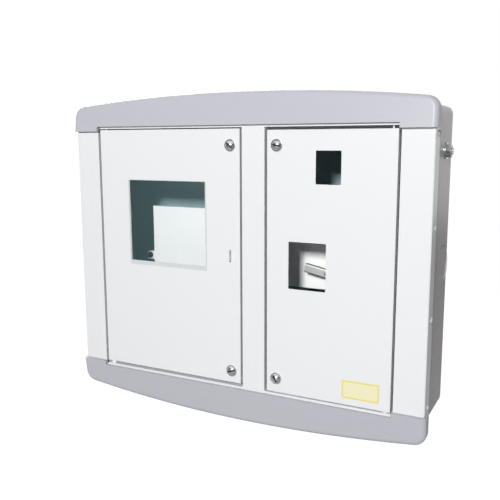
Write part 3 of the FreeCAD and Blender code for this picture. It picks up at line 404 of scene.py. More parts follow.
class MeterBoxStage(bpy.types.PropertyGroup):
    """Camera, light and floor."""

    camera_place: bpy.props.FloatVectorProperty(
        name="Camera place", description="Eye point in front of the doors", subtype="TRANSLATION",
        unit="LENGTH", default=(0.45505, -0.95817, 0.16908))
    camera_turn: bpy.props.FloatVectorProperty(
        name="Camera turn", description="Pitch, roll and yaw of the view", subtype="EULER",
        unit="ROTATION",
        default=(math.radians(-9.2346), math.radians(0.1565), math.radians(27.2527)))
    focal_pixels: number("Focal length", "Focal length in pixels of the square picture", 660.38)
    key_direction: heading("Key direction", "From the box to the key light", (0.165, -1.0, 0.385))
    key_distance: number("Key distance", "Key light's distance from the box", 3.4, "LENGTH")
    key_size: number("Key size", "Side of the square key light", 0.48, "LENGTH")
    key_power: number("Key power", "Key light's power", 117.0, "POWER")
    rear_direction: heading("Rear direction", "From the box to the rear light", (-0.8, 0.75, 0.75))
    rear_distance: number("Rear distance", "Rear light's distance from the box", 2.6, "LENGTH")
    rear_size: number("Rear size", "Side of the square rear light", 1.6, "LENGTH")
    rear_power: number("Rear power", "Rear light's power", 60.0, "POWER")
    side_direction: heading("Side direction", "From the box to the side light", (1.0, 0.1, -0.3))
    side_distance: number("Side distance", "Side light's distance from the box", 1.2, "LENGTH")
    side_size: number("Side size", "Side of the square side light", 0.5, "LENGTH")
    side_power: number("Side power", "Side light's power", 1.5, "POWER")
    surround: number("Surround", "Strength of the even light from all sides", 0.19)
    surround_tone: colour("Surround tone", "Slightly cool tint of the even light", "F6FCFF")
    room: number("Room", "Brightness of the room in front as bright parts mirror it", 0.22)
    floor_drop: number("Floor drop", "Floor below the middle of the box", 0.62, "LENGTH")
    floor_half: number("Floor half", "Half the side of the square floor", 6.0, "LENGTH")
    floor_tone: colour("Floor tone", "Pale studio floor", "A0A0A0")
    floor_glow: number("Floor glow", "White that the floor shows to the camera", 1.23)
    floor_glow_share: number("Floor glow share", "Share of that white in the picture", 0.8)


def finish_and_sizes(context):
    """Colours and sizes that the operators work from."""
    return context.scene.meter_box_finish, context.scene.meter_box_sizes


class METERBOX_OT_stage(bpy.types.Operator):
    """Set up the camera, the soft lights, the even surround and the pale floor"""

    bl_idname = "meter_box.stage"
    bl_label = "Stage"

    def execute(self, context):
        values = context.scene.meter_box_stage
        context.scene.view_settings.view_transform = "Standard"
        self.camera(context, values)
        for name in ("key", "rear", "side"):
            self.lamp(context, values, name)
        self.world(context, values)
        self.floor(context, values)
        return {"FINISHED"}

    def camera(self, context, values):
        """Camera that stands level, then rolls, pitches and yaws."""
        data = bpy.data.cameras.new("photo_camera")
        data.sensor_width = SENSOR_MM
        data.lens = values.focal_pixels / PICTURE_PIXELS * SENSOR_MM
        camera = bpy.data.objects.new("photo_camera", data)
        context.scene.collection.objects.link(camera)
        pitch, roll, yaw = values.camera_turn
        turn = (Matrix.Rotation(yaw, 4, "Z") @ Matrix.Rotation(pitch, 4, "X")
                @ Matrix.Rotation(roll, 4, "Y") @ Matrix.Rotation(math.radians(90), 4, "X"))
        camera.matrix_world = Matrix.Translation(values.camera_place) @ turn
        context.scene.camera = camera

    def lamp(self, context, values, name):
        """Square lamp that looks at the middle of the box's back from its direction."""
        direction, distance, size, power = [
            getattr(values, name + "_" + what)
            for what in ("direction", "distance", "size", "power")]
        data = bpy.data.lights.new(name + "_light", "AREA")
        data.energy = power
        data.size = size
        lamp = bpy.data.objects.new(name + "_light", data)
        context.scene.collection.objects.link(lamp)
        away = Vector(direction).normalized()
        turn = (-away).to_track_quat("-Z", "Y").to_matrix().to_4x4()
        lamp.matrix_world = Matrix.Translation(away * distance) @ turn

    def world(self, context, values):
        """Even light on the object, white for the camera, and a small room for mirrors.

        Plated parts mirror a white wall behind the box, a white ceiling and a screen at the key
        light, in a dimmer room. Each is white where the cosine of the angle to its middle is full.
        """
        world = bpy.data.worlds.new("studio")
        world.use_nodes = True
        tree = world.node_tree
        tree.nodes.clear()
        ray = node(tree, "ShaderNodeLightPath").outputs
        seen = ray["Is Camera Ray"]
        for kind in ("Is Glossy Ray", "Is Transmission Ray"):
            seen = node(tree, "ShaderNodeMath", {0: seen, 1: ray[kind]},
                        operation="MAXIMUM").outputs[0]
        way = node(tree, "ShaderNodeTexCoord").outputs["Generated"]
        screen = Vector(values.key_direction).normalized()
        mirrored = values.room
        for towards, (start, full) in ((BACKWARDS, WALL_EDGE), (UP, CEILING_EDGE),
                                       (screen, SCREEN_EDGE)):
            facing = node(tree, "ShaderNodeVectorMath", {0: way, 1: tuple(towards)},
                          operation="DOT_PRODUCT").outputs["Value"]
            share = node(tree, "ShaderNodeMapRange",
                         {"Value": facing, "From Min": start, "From Max": full},
                         interpolation_type="SMOOTHSTEP").outputs[0]
            mirrored = node(tree, "ShaderNodeMix", {0: share, 2: mirrored, 3: 1.0}).outputs[0]
        shown = node(tree, "ShaderNodeMix",
                     {0: ray["Is Glossy Ray"], 2: 1.0, 3: mirrored}).outputs[0]
        strength = node(tree, "ShaderNodeMix",
                        {0: seen, 2: values.surround, 3: shown}).outputs[0]
        tone = node(tree, "ShaderNodeMix",
                    {0: seen, 6: values.surround_tone, 7: (1, 1, 1, 1)},
                    data_type="RGBA").outputs[2]
        back = node(tree, "ShaderNodeBackground", {"Color": tone, "Strength": strength})
        node(tree, "ShaderNodeOutputWorld", {"Surface": back.outputs[0]})
        context.scene.world = world

    def floor(self, context, values):
        """Square floor under the box."""
        half, drop = values.floor_half, values.floor_drop
        mesh = bpy.data.meshes.new("floor")
        corners = [(x * half, y * half, -drop) for x, y in ((-1, -1), (1, -1), (1, 1), (-1, 1))]
        mesh.from_pydata(corners, [], [(0, 1, 2, 3)])
        floor = bpy.data.objects.new("floor", mesh)
        context.scene.collection.objects.link(floor)
        # Painted floor: it reads as white paper in the picture and still takes a soft shadow
        material, tree, shader, _ = start_material("studio_floor", Roughness=0.9,
                                                   Base_Color=values.floor_tone)
        ray = node(tree, "ShaderNodeLightPath").outputs
        white = node(tree, "ShaderNodeEmission",
                     {"Color": (1, 1, 1, 1), "Strength": values.floor_glow}).outputs[0]
        share = node(tree, "ShaderNodeMath",
                     {0: ray["Is Camera Ray"], 1: values.floor_glow_share},
                     operation="MULTIPLY").outputs[0]
        mixed = node(tree, "ShaderNodeMixShader", {0: share, 1: shader.outputs[0], 2: white})
        tree.links.new(mixed.outputs[0], tree.nodes["Material Output"].inputs["Surface"])
        mesh.materials.append(material)


def powder_coat(name, tone, peel_mm, roughness):
    """Sprayed and baked polyester powder: even colour, soft gloss and an orange-peel ripple."""
    spray, peel = Pattern("Noise", 90.0, 3.0), Pattern("Noise", peel_mm, 2.0)
    return patterned(name, tone, 0.992, spray, spray, (roughness - 0.01, roughness + 0.01),
                     (peel, 0.2, 0.04), IOR=1.5)


def prime_inside(material, tone, low, high, corner, sheet):
    """Bare primer on the inside of a folded box with round edges, under the same shader.

    A point's distances from the box's six outer faces are taken from the corner radius, and what is
    left of each is squared and summed. The root is the corner radius on the outside and less by the
    sheet on the inside.
    """
    tree = material.node_tree
    shader = tree.nodes["Principled BSDF"]
    outside = shader.inputs["Base Color"].links[0].from_socket
    place = node(tree, "ShaderNodeTexCoord").outputs["Object"]
    for operation, other in (("SUBTRACT", (low + high) / 2), ("ABSOLUTE", np.zeros(3)),
                             ("SUBTRACT", (high - low) / 2 - corner), ("MAXIMUM", np.zeros(3))):
        place = node(tree, "ShaderNodeVectorMath", {0: place, 1: tuple(other)},
                     operation=operation).outputs[0]
    reach = node(tree, "ShaderNodeVectorMath", {0: place}, operation="LENGTH").outputs["Value"]
    inside = node(tree, "ShaderNodeMath", {0: reach, 1: corner - sheet / 2},
                  operation="LESS_THAN").outputs[0]
    shade = node(tree, "ShaderNodeMix", {0: inside, 6: outside, 7: tuple(tone)}, data_type="RGBA")
    tree.links.new(shade.outputs[2], shader.inputs["Base Color"])


def moulded_plastic(name, tone, grain_mm, roughness):
    """Injection-moulded plastic from a spark-eroded tool: satin, finely grained, with flow marks.

    The grain of such tools is about 0.3 mm. It is drawn at about 1 mm so that it shows.
    """
    flow, grain = Pattern("Noise", 35.0, 4.0, (0.25, 1.0, 1.0)), Pattern("Noise", grain_mm, 3.0)
    return patterned(name, tone, 0.95, flow, grain, (roughness - 0.05, roughness + 0.05),
                     (grain, 0.2, 0.05), IOR=1.53, Specular_IOR_Level=0.25)


def plated_metal(name, tone, roughness, streak=(1.0, 1.0, 1.0), turn=0.0):
    """Plated metal: mirror colour, faintly clouded by the bath and finely scratched by handling.

    Such scratches are some hundredths of a millimetre wide. They are drawn at 1.2 mm to show.
    """
    bath, scratch = Pattern("Noise", 9.0, 4.0), Pattern("Noise", 1.2, 5.0, streak, turn)
    return patterned(name, tone, 0.8, bath, scratch, (roughness * 0.7, roughness * 1.3),
                     (scratch, 0.15, 0.03), Metallic=1.0)


def cellular_rubber(name, tone, cell_mm, depth_mm):
    """Rubber: dull, with the cells of foam or the slight bloom of a solid strip."""
    bloom, cells = Pattern("Noise", 14.0, 3.0), Pattern("Voronoi", cell_mm, 0.0)
    return patterned(name, tone, 0.8, bloom, bloom, (0.6, 0.85), (cells, 0.6, depth_mm), IOR=1.52)


def clear_sheet(name, tone):
    """Extruded polycarbonate: nearly clear, a little green in its thickness, with faint ripples."""
    ripple = Pattern("Noise", 40.0, 1.0)
    return patterned(name, tone, 0.85, ripple, ripple, (0.03, 0.08), IOR=1.58, Alpha=0.05)


def printed_film(name, tone):
    """Printed polyester film: even ink under a clear, slightly wavy gloss."""
    ink = Pattern("Noise", 25.0, 1.0)
    return patterned(name, tone, 0.985, ink, ink, (0.27, 0.3), IOR=1.57)


class METERBOX_OT_sheet_metal(bpy.types.Operator):
    """Paint the frame, the doors, the back box and the inner plates"""

    bl_idname = "meter_box.sheet_metal"
    bl_label = "Sheet metal"

    def execute(self, context):
        values, sizes = finish_and_sizes(context)
        white = powder_coat("white_powder_coated_steel", values.door_paint, 2.4, 0.28)
        grey = powder_coat("grey_powder_coated_steel", values.box_paint, 1.6, 0.34)
        plate = powder_coat("plate_powder_coated_steel", values.plate_paint, 2.0, 0.3)
        dress(white, "front_frame", "left_door", "right_door", "seal_tongue")
        low, high = corners_of("back_box")
        prime_inside(grey, values.primer, low, high, sizes.box_corner, sizes.box_sheet)
        dress(grey, "back_box")
        dress(plate, "meter_plate", "device_plate")
        return {"FINISHED"}


class METERBOX_OT_knockouts(bpy.types.Operator):
    """Raise the lips that the punch leaves round the side knockouts"""

    bl_idname = "meter_box.knockouts"
    bl_label = "Side knockouts"

    def execute(self, context):
        values, sizes = finish_and_sizes(context)
        grey = powder_coat("grey_powder_coated_lip", values.box_paint, 1.6, 0.34)
        half_width = corners_of("back_box")[1][0]
        sheets = []
        for side in (-1, 1):
            middle = np.array((side * half_width, -sizes.knockout_from_wall, sizes.knockout_height))
            sheets += placed([self.lip(sizes, side)], middle, side * RIGHTWARDS)
        piece("side_knockout_lips", "enclosure", [grey], sheets)
        return {"FINISHED"}

    def lip(self, sizes, side):
        """Ring about Z with a steep inner wall and a sloping outer one.

        Its crest rises as one plus the cosine of the angle from the highest place, low at the rear,
        and goes under the sheet opposite.
        """
        angles = np.linspace(0.0, FULL_TURN, LIP_STEPS)
        highest = math.atan2(LIP_LEAN, side)
        share = (1 + np.cos(angles - highest)) / 2
        inner, width, bed = sizes.knockout_radius, sizes.lip_width, sizes.lip_bed
        crest = (sizes.lip_rise + bed / 2) * share - bed / 2
        ridge = [(inner + part * width, crest) for part in LIP_RIDGE]
        return turned([(inner, -bed), (inner, LIP_WALL * crest)] + ridge
                      + [(inner + width, -bed), (inner, -bed)], angles)


class METERBOX_OT_caps(bpy.types.Operator):
    """Give the two caps their moulded plastic"""

    bl_idname = "meter_box.caps"
    bl_label = "Caps"

    def execute(self, context):
        values = context.scene.meter_box_finish
        dress(moulded_plastic("moulded_abs", values.cap_plastic, 1.0, 0.38),
              "top_cap", "bottom_cap")
        return {"FINISHED"}


class METERBOX_OT_window(bpy.types.Operator):
    """Finish the window's pane and make its gasket with a rounded lip"""

    bl_idname = "meter_box.window"
    bl_label = "Window"

    def execute(self, context):
        values, sizes = finish_and_sizes(context)
        dress(clear_sheet("polycarbonate_sheet", values.pane), "window_pane")
        # Solid extruded rubber: dull and pale grey
        rubber = cellular_rubber("extruded_grey_rubber", values.gasket, 0.8, 0.02)
        low, high = corners_of("window_gasket")
        lap = sizes.gasket_lap
        inner_low = low + (lap + sizes.gasket_lip, 0, lap + sizes.gasket_sill)
        inner_high = high - (lap + sizes.gasket_jamb, 0, lap + sizes.gasket_lip)
        strip = self.frame_strip(low, high, inner_low, inner_high)
        piece("window_gasket_strip", "window_door", [rubber], [strip],
              ["window_gasket"])
        return {"FINISHED"}

    def frame_strip(self, low, high, inner_low, inner_high):
        """Flat strip between two rectangles, its inner edge a half round within its thickness."""
        half = (high - low)[1] / 2
        bend = np.linspace(-math.pi / 2, math.pi / 2, GASKET_STEPS)
        outer = self.corner_loop(low, high, np.zeros(1), np.zeros(1))
        edge = self.corner_loop(inner_low, inner_high, half * (np.cos(bend) - 1),
                                half * (1 + np.sin(bend)))
        far = self.corner_loop(low, high, np.zeros(1), np.full(1, 2 * half))
        return np.concatenate([outer, edge, far, outer])

    def corner_loop(self, low, high, insets, depths):
        """Rectangles made smaller by the insets, each at its depth behind the front."""
        left, right = low[0] + insets, high[0] - insets
        foot, head = low[2] + insets, high[2] - insets
        x = np.stack([left, right, right, left, left], 1)
        z = np.stack([foot, foot, head, head, foot], 1)
        y = np.broadcast_to((low[1] + depths)[:, None], x.shape)
        return np.stack([x, y, z], -1)


class METERBOX_OT_seals(bpy.types.Operator):
    """Make the D-section foam seals inside the doors"""

    bl_idname = "meter_box.seals"
    bl_label = "Door seals"

    def execute(self, context):
        values, sizes = finish_and_sizes(context)
        # Closed-cell foam: soot black and dull; cells of 0.4 mm are drawn at 1.1 mm to show
        foam = cellular_rubber("closed_cell_foam", values.foam, 1.1, 0.3)
        for name, body in (("left_door_seal", "window_door"), ("right_door_seal", "switch_door")):
            piece(name + "_strip", body, [foam], [self.strip(name, sizes)], [name])
        return {"FINISHED"}

    def strip(self, name, sizes):
        """D section carried round the seal's loop: a flat foot and a superellipse for its crown."""
        low, high = corners_of(name)
        sweep = np.linspace(0.0, math.pi, SEAL_STEPS)
        across = np.sign(np.cos(sweep)) * np.abs(np.cos(sweep)) ** SEAL_SQUARENESS
        insets = sizes.seal_width / 2 * (1 - across)
        depths = (high - low)[1] * np.abs(np.sin(sweep)) ** SEAL_SQUARENESS
        middle = (low + high) / 2 * (1, 0, 1) + low * (0, 1, 0)
        return rounded_loop(middle, (high - low)[[0, 2]] / 2, sizes.seal_corner,
                            np.append(insets, insets[0]), np.append(depths, depths[0]))


def dome_of(sizes):
    """Radius of a fastener's ball, and of the circle where its dome meets the slot's floor.

    A cap of foot radius b and height h is of a ball of radius R, the sum of their squares divided
    by 2h. At depth d below its top, the cap's circle has a radius of sqrt(2Rd - d^2).
    """
    ball = (sizes.dome_radius ** 2 + sizes.dome_height ** 2) / (2 * sizes.dome_height)
    return ball, math.sqrt(2 * ball * sizes.slot_depth - sizes.slot_depth ** 2)


def slotted_stud(sizes, head_radius, reach):
    """Grids of a slotted fastener about Z, its flange on the plane Z = 0.

    The dome's height at radius r is sqrt(R^2 - r^2) less a constant. The slot's walls stand at half
    its width. Each half dome is a polar grid whose angles run from wall to wall, the floor is a
    grid of chords, and the walls join both. Outside the circle where the dome meets the floor, one
    profile is turned: the rest of the dome, the flange, the shank and its tapered end.
    """
    ball, edge = dome_of(sizes)
    wall = sizes.slot_width / 2
    floor = sizes.flange + sizes.dome_height - sizes.slot_depth
    lift = sizes.flange + sizes.dome_height - ball
    rings = np.linspace(wall, edge, DOME_RINGS)
    crown = lift + np.sqrt(ball ** 2 - rings ** 2)
    crown[-1] = floor
    start = np.arcsin(np.minimum(wall / rings, 1.0))[:, None]
    upper = start + np.linspace(0.0, 1.0, DOME_STEPS) * (math.pi - 2 * start)
    halves = [polar(rings[:, None], upper + turn, crown[:, None]) for turn in (0.0, math.pi)]
    end = np.linspace(-start[-1, 0], start[-1, 0], SLOT_STEPS)
    chord = np.sqrt(rings ** 2 - wall ** 2)
    along = np.concatenate([-chord[::-1], chord[1:]])
    top = np.concatenate([crown[::-1], crown[1:]])
    share = along / chord[-1]
    ground = np.stack(np.broadcast_arrays(share[:, None] * edge * np.cos(end), edge * np.sin(end),
                                          floor), -1)
    walls = []
    for side in (-wall, wall):
        rows = [np.stack([along, np.full_like(along, side), height], -1)
                for height in (np.full_like(along, floor), top)]
        walls.append(np.stack(rows))
    ring = np.concatenate([upper[-1], math.pi + end[1:], math.pi + upper[-1, 1:],
                           FULL_TURN + end[1:]])
    outer = np.linspace(edge, sizes.dome_radius, SHOULDER_STEPS)[1:]
    shoulder = [(r, lift + math.sqrt(ball ** 2 - r ** 2)) for r in outer]
    bevel = BEVEL_SHARE * sizes.flange
    nib = BEVEL_SHARE * bevel
    profile = [(edge, floor)] + shoulder + [
        (head_radius - bevel, sizes.flange), (head_radius - nib, sizes.flange - nib),
        (head_radius, sizes.flange - bevel), (head_radius, 0.0), (sizes.shank_radius, 0.0),
        (sizes.shank_radius, sizes.tip_radius - reach), (sizes.tip_radius, -reach), (0.0, -reach)]
    return halves + [ground] + walls + [turned(profile, ring)]


class METERBOX_OT_fasteners(bpy.types.Operator):
    """Make the slotted quarter-turn fasteners of both doors"""

    bl_idname = "meter_box.fasteners"
    bl_label = "Fasteners"

    # How far each slot is turned from level, in degrees, as the solids have it
    turns = {"left_upper": -35.0, "left_lower": 20.0, "right_upper": -10.0, "right_lower": -60.0}

    def execute(self, context):
        values, sizes = finish_and_sizes(context)
        # Nickel-plated zinc casting: a grey mirror that darkens where it looks past the lamp
        nickel = plated_metal("nickel_plated_casting", values.chrome, 0.08)
        # The polishing wheel doesn't reach the slot, so it stays dull and rough, and its dark grey
        # is painted shade in the recess
        cast = plated_metal("unpolished_zinc_casting", values.cast, 0.5)
        head = sizes.flange + sizes.dome_height
        for name, turn in self.turns.items():
            low, high = corners_of(name + "_fastener")
            seat = (low + high) / 2 * (1, 0, 1) + (low + head) * (0, 1, 0)
            spin = math.radians(turn)
            sheets = slotted_stud(sizes, (high - low)[0] / 2, (high - low)[1] - head)
            piece(name + "_stud", name + "_turn", [nickel, cast],
                  placed(sheets, seat, FRONTWARDS, spin), [name + "_fastener"],
                  lambda centres: self.in_slot(centres - seat, spin, sizes))
        zinc = plated_metal("zinc_plated_ring", values.zinc, 0.34)
        dress(zinc, *[name + "_ring" for name in self.turns])
        return {"FINISHED"}

    def in_slot(self, offsets, spin, sizes):
        """True for faces no further from the slot's middle line than its walls, within its ends."""
        right, back, up = offsets.T
        off = np.abs(up * math.cos(spin) - right * math.sin(spin))
        within = np.hypot(right, up) < dome_of(sizes)[1]
        return (off < sizes.slot_width / 2 + HAIR) & (back < 0) & within


def recessed_screw(head_radius, head_height, radius, reach):
    """Grid of a pan-head screw about Z, its head on the plane Z = 0, with a cross recess.

    Seen along Z the recess is a cross, whose edge at an angle from the nearest arm is the arm's end
    or its side, whichever comes first. The recess narrows to its floor. Outside it the head is a
    low paraboloid with a round rim.
    """
    arm, half = RECESS_ARM * head_radius, RECESS_HALF_WIDTH * head_radius
    floor = head_height - RECESS_DEPTH * head_height
    sag, rim = HEAD_SAG * head_height, HEAD_RIM * head_height
    rim_radius = head_radius - rim
    corner, diagonal, right_angle = math.atan2(half, arm), math.pi / 4, math.pi / 2
    quarter = np.concatenate([np.linspace(-corner, corner, ARM_STEPS),
                              np.linspace(corner, diagonal, ARM_STEPS)[1:],
                              np.linspace(diagonal, right_angle - corner, ARM_STEPS)[1:-1]])
    angles = np.append(np.add.outer(np.arange(4) * right_angle, quarter).reshape(-1),
                       FULL_TURN - corner)
    off_arm = np.abs((angles + diagonal) % right_angle - diagonal)
    edge = np.where(off_arm <= corner + 1e-9, arm / np.cos(off_arm),
                    half / np.sin(np.maximum(off_arm, corner)))
    profile = [(0.0, floor), (RECESS_FLOOR * edge, floor)]
    for share in (0.0, 0.25, 0.5, 0.75, 1.0):
        r = edge + share * (rim_radius - edge)
        profile.append((r, head_height - sag * (r / rim_radius) ** 2))
    shoulder = head_height - sag - rim
    for bend in np.radians((30, 60, 90)):
        profile.append((rim_radius + rim * np.sin(bend), shoulder + rim * np.cos(bend)))
    tip = SCREW_TIP * radius
    profile += [(head_radius, 0.0), (radius, 0.0), (radius, tip - reach), (tip, -reach),
                (0.0, -reach)]
    return turned(profile, angles)


def driven(screws, seats, outwards, turns):
    """Screws at their seats, the first at a turn and each next one a step further."""
    first, step = turns
    sheets = []
    for count, (screw, seat) in enumerate(zip(screws, seats)):
        sheets += placed([screw], np.array(seat), outwards, first + step * count)
    return sheets


class METERBOX_OT_screws(bpy.types.Operator):
    """Make the cross-recess screws of the frame, the inner plates and the earth bar"""

    bl_idname = "meter_box.screws"
    bl_label = "Screws"

    def execute(self, context):
        values, sizes = finish_and_sizes(context)
        zinc = plated_metal("zinc_plated_screw", values.zinc, 0.3)
        black = plated_metal("blackened_steel", values.black_steel, 0.5)
        self.frame_screws(values, sizes)
        radius = 2 * sizes.plate_screw_radius
        low, high = corners_of("meter_plate_screws")
        top, foot = high[2] - radius, low[2] + radius
        spots = [(low[0] + radius, top), (high[0] - radius, top), ((low[0] + high[0]) / 2, foot)]
        self.plate_screws("meter_plate_screws", "black_steel", black, spots, sizes)
        low, high = corners_of("device_plate_screws")
        spots = [(x, z) for x in (low[0] + radius, high[0] - radius)
                 for z in (low[2] + radius, high[2] - radius)]
        self.plate_screws("device_plate_screws", "zinc", zinc, spots, sizes)
        self.bar_screws(sizes, zinc)
        return {"FINISHED"}

    def frame_screws(self, values, sizes):
        """Even rows along both returns of the frame."""
        # The heads are sprayed grey, so the powder coat softens their recesses, and the grey is
        # darkened to the shade on the frame's return as painted shade
        painted = powder_coat("powder_coated_screw", values.screw_shade_tone, 1.2, 0.5)
        low, high = corners_of("frame_screws")
        radius = (high - low)[1] / 2
        screw = recessed_screw(radius, sizes.screw_head, sizes.screw_radius, sizes.screw_length)
        heights = np.linspace(low[2] + radius, high[2] - radius, FRAME_SCREWS_PER_SIDE)
        sheets = []
        for side in (-1, 1):
            seat_x = side * (high[0] - sizes.screw_head)
            seats = [(seat_x, (low[1] + high[1]) / 2, z) for z in heights]
            sheets += driven([screw] * len(seats), seats, side * RIGHTWARDS, FRAME_SCREW_TURNS)
        piece("frame_screw_set", "enclosure", [painted], sheets, ["frame_screws"])

    def plate_screws(self, name, slot, material, spots, sizes):
        """Screws at the spots, from their heads in front to the ends of their node."""
        low, high = corners_of(name)
        head, radius = sizes.plate_screw_head, sizes.plate_screw_radius
        screw = recessed_screw(2 * radius, head, radius, (high - low)[1] - head)
        seats = [(x, low[1] + head, z) for x, z in spots]
        sheets = driven([screw] * len(seats), seats, FRONTWARDS, PLATE_SCREW_TURNS)
        piece(name + "_set", "enclosure", [material], sheets, [name])

    def bar_screws(self, sizes, zinc):
        """Fixing screws at the ends of the slanted bar, and terminal screws on the line between."""
        low, high = corners_of("earth_bar_screws")
        head, radius = sizes.bar_screw_head, sizes.bar_screw_head_radius
        start = np.array((low[0] + radius, low[1] + head, high[2] - radius))
        stop = np.array((high[0] - radius, low[1] + head, low[2] + radius))
        fixing = recessed_screw(radius, head, sizes.bar_screw_radius, (high - low)[1] - head)
        terminal = recessed_screw(sizes.terminal_head_radius, sizes.terminal_head,
                                  sizes.terminal_radius, sizes.terminal_length)
        screws = [fixing] + [terminal] * len(BAR_TERMINALS_MM) + [fixing]
        shares = np.array((0.0,) + BAR_TERMINALS_MM + (BAR_POSTS_MM,)) / BAR_POSTS_MM
        seats = start + shares[:, None] * (stop - start)
        sheets = driven(screws, seats, FRONTWARDS, BAR_SCREW_TURNS)
        piece("earth_bar_screw_set", "enclosure", [zinc], sheets, ["earth_bar_screws"])


def chamfered_hexagon(flats, height, bore):
    """Grid of a hexagon about Z from the plane Z = 0, with a bore and its ends turned to a cone.

    At an angle the hexagon's edge is half its flats divided by the cosine of the angle from the
    nearest flat's middle. The cone starts near the flats' circle, so it takes only the corners.
    """
    angles = np.linspace(0.0, FULL_TURN, HEXAGON_STEPS)
    edge = flats / 2 / np.cos(angles % (math.pi / 3) - math.pi / 6)
    start = CHAMFER_START * flats / 2
    drop = (edge - start) * math.tan(CHAMFER_ANGLE)
    lead = LEAD_IN * bore
    return turned([(bore, 0.0), (bore, height - lead), (bore + lead, height), (start, height),
                   (edge, height - drop), (edge, drop), (start, 0.0), (bore, 0.0)], angles)


def threaded_rod(radius, pitch, reach):
    """Grid of a rod along Z from the plane Z = 0 with a helical V thread and a bevelled end.

    The radius at height z and angle a falls below the crest by the thread's depth times a zigzag
    between 0 and 1, taken at z / pitch - a / one turn. Near the end it follows the bevel.
    """
    angles = np.linspace(0.0, FULL_TURN, THREAD_STEPS)[None, :]
    height = np.linspace(0.0, reach, int(reach / pitch * ROWS_PER_PITCH) + 2)[:, None]
    depth = THREAD_DEPTH * pitch
    wave = np.abs(2 * ((height / pitch - angles / FULL_TURN) % 1.0) - 1.0)
    bevel = radius - np.maximum(0.0, height - (reach - depth))
    grid = polar(np.minimum(radius - depth * wave, bevel), angles, height)
    foot, end = [polar(np.zeros((1, 1)), angles, z) for z in (0.0, reach)]
    return np.concatenate([foot, grid, end])


class METERBOX_OT_earth(bpy.types.Operator):
    """Make the earth bolt and its nut, and finish the washer and the earth bar"""

    bl_idname = "meter_box.earth"
    bl_label = "Earth bolt and bar"

    def execute(self, context):
        values, sizes = finish_and_sizes(context)
        zinc = plated_metal("zinc_plated_steel_bolt", values.zinc, 0.28)
        low, high = corners_of("earth_bolt")
        axis = (low + high) / 2 * (0, 1, 1)
        seat = axis + (low + sizes.bolt_head) * (1, 0, 0)
        head = chamfered_hexagon(sizes.bolt_flats, sizes.bolt_head, 0.0)
        rod = threaded_rod(sizes.bolt_radius, sizes.bolt_pitch, (high - low)[0] - sizes.bolt_head)
        sheets = placed([head], seat, -RIGHTWARDS) + placed([rod], seat, RIGHTWARDS)
        piece("earth_bolt_threaded", "enclosure", [zinc], sheets, ["earth_bolt"])
        low, high = corners_of("earth_nut")
        nut = chamfered_hexagon(sizes.bolt_flats, (high - low)[0],
                                sizes.bolt_radius + sizes.thread_fit)
        piece("earth_nut_chamfered", "enclosure", [zinc],
              placed([nut], axis + low * (1, 0, 0), RIGHTWARDS), ["earth_nut"])
        dress(zinc, "earth_washer")
        # Drawn bar: the tin keeps the long lines of the drawing die
        dress(plated_metal("tinned_brass_bar", values.tin, 0.55, (0.04, 1.0, 1.0), BAR_SLANT),
              "earth_bar")
        dress(moulded_plastic("polyester_moulding", values.insulator, 0.8, 0.5), "earth_bar_posts")
        return {"FINISHED"}


class METERBOX_OT_hardware(bpy.types.Operator):
    """Make the window's studs and nuts, and plate the pins, posts, brackets and rivets"""

    bl_idname = "meter_box.hardware"
    bl_label = "Studs, pins and brackets"

    def execute(self, context):
        values, sizes = finish_and_sizes(context)
        zinc = plated_metal("zinc_plated_steel", values.zinc, 0.34)
        dress(zinc, "cap_push_nuts", "left_hinge_pins", "right_hinge_pins", "fastener_receptacles",
              "receptacle_rivets", "window_retainer", "meter_plate_posts", "device_plate_posts")
        dress(moulded_plastic("moulded_nylon", values.nylon, 0.8, 0.4), "hinge_spacers")
        low, high = corners_of("window_studs")
        nut_low, nut_high = corners_of("window_nuts")
        radius = sizes.stud_radius
        rod = threaded_rod(radius, sizes.stud_pitch, (high - low)[1])
        nut = chamfered_hexagon(sizes.nut_flats, (nut_high - nut_low)[1], radius + sizes.thread_fit)
        studs, nuts = [], []
        for x in (low[0] + radius, high[0] - radius):
            for z in np.linspace(low[2] + radius, high[2] - radius, STUDS_PER_SIDE):
                studs += placed([rod], np.array((x, low[1], z)), BACKWARDS)
                nuts += placed([nut], np.array((x, nut_low[1], z)), BACKWARDS, NUT_TURN)
        piece("window_stud_set", "window_door", [zinc], studs, ["window_studs"])
        piece("window_nut_set", "window_door", [zinc], nuts, ["window_nuts"])
        return {"FINISHED"}


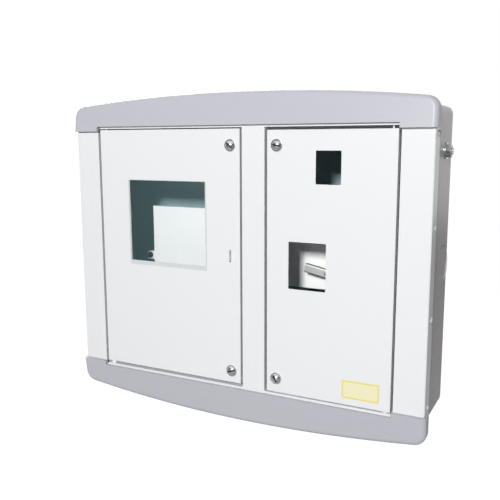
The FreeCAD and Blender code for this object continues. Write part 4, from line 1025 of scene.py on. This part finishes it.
class METERBOX_OT_label(bpy.types.Operator):
    """Stick a plain label near the foot of the switch door"""

    bl_idname = "meter_box.label"
    bl_label = "Label"

    def execute(self, context):
        values, sizes = finish_and_sizes(context)
        low, high = corners_of("right_door")
        middle = np.array((high[0] - sizes.label_from_edge, low[1] - sizes.label_glue,
                           low[2] + sizes.label_from_foot))
        half = np.array((sizes.label_width, sizes.label_height)) / 2
        thick, border = sizes.label_thickness, sizes.label_border
        bevel = BEVEL_SHARE * thick
        # From the middle of the back round the bevelled edge to the middle of the front
        insets = [half[1], 0.0, 0.0, bevel, border, border + bevel, half[1]]
        depths = [0.0, 0.0, bevel - thick, -thick, -thick, -thick, -thick]
        film = rounded_loop(middle, half, sizes.label_corner, insets, depths)

        def in_field(centres):
            away = np.abs(centres[:, [0, 2]] - middle[[0, 2]])
            in_front = centres[:, 1] < middle[1] - thick / 2
            return np.all(away < half - border, axis=1) & in_front

        edge = printed_film("printed_label_border", values.label_edge)
        field = printed_film("printed_label_field", values.label_field)
        piece("door_label", "switch_door", [edge, field], [film], pick=in_field)
        return {"FINISHED"}


OPERATORS = [METERBOX_OT_stage, METERBOX_OT_sheet_metal, METERBOX_OT_knockouts, METERBOX_OT_caps,
             METERBOX_OT_window, METERBOX_OT_seals, METERBOX_OT_fasteners, METERBOX_OT_screws,
             METERBOX_OT_earth, METERBOX_OT_hardware, METERBOX_OT_label]


class METERBOX_PT_panel(bpy.types.Panel):
    """List the steps that build the box's looks"""

    bl_idname = "METERBOX_PT_panel"
    bl_label = "Meter box"
    bl_space_type = "VIEW_3D"
    bl_region_type = "UI"
    bl_category = "Meter box"

    def draw(self, context):
        for operator in OPERATORS:
            self.layout.operator(operator.bl_idname)


GROUPS = {"meter_box_sizes": MeterBoxSizes, "meter_box_finish": MeterBoxFinish,
          "meter_box_stage": MeterBoxStage}
CLASSES = list(GROUPS.values()) + OPERATORS + [METERBOX_PT_panel]


def register():
    """Register the classes and attach their values to the scene."""
    for cls in CLASSES:
        bpy.utils.register_class(cls)
    for name, group in GROUPS.items():
        setattr(bpy.types.Scene, name, bpy.props.PointerProperty(type=group))


def unregister():
    """Take the values off the scene and remove the classes."""
    for name in GROUPS:
        delattr(bpy.types.Scene, name)
    for cls in reversed(CLASSES):
        bpy.utils.unregister_class(cls)


def main():
    """Build the scene."""
    register()
    bpy.ops.meter_box.stage()
    bpy.ops.meter_box.sheet_metal()
    bpy.ops.meter_box.knockouts()
    bpy.ops.meter_box.caps()
    bpy.ops.meter_box.window()
    bpy.ops.meter_box.seals()
    bpy.ops.meter_box.fasteners()
    bpy.ops.meter_box.screws()
    bpy.ops.meter_box.earth()
    bpy.ops.meter_box.hardware()
    bpy.ops.meter_box.label()


if __name__ == "__main__":
    main()
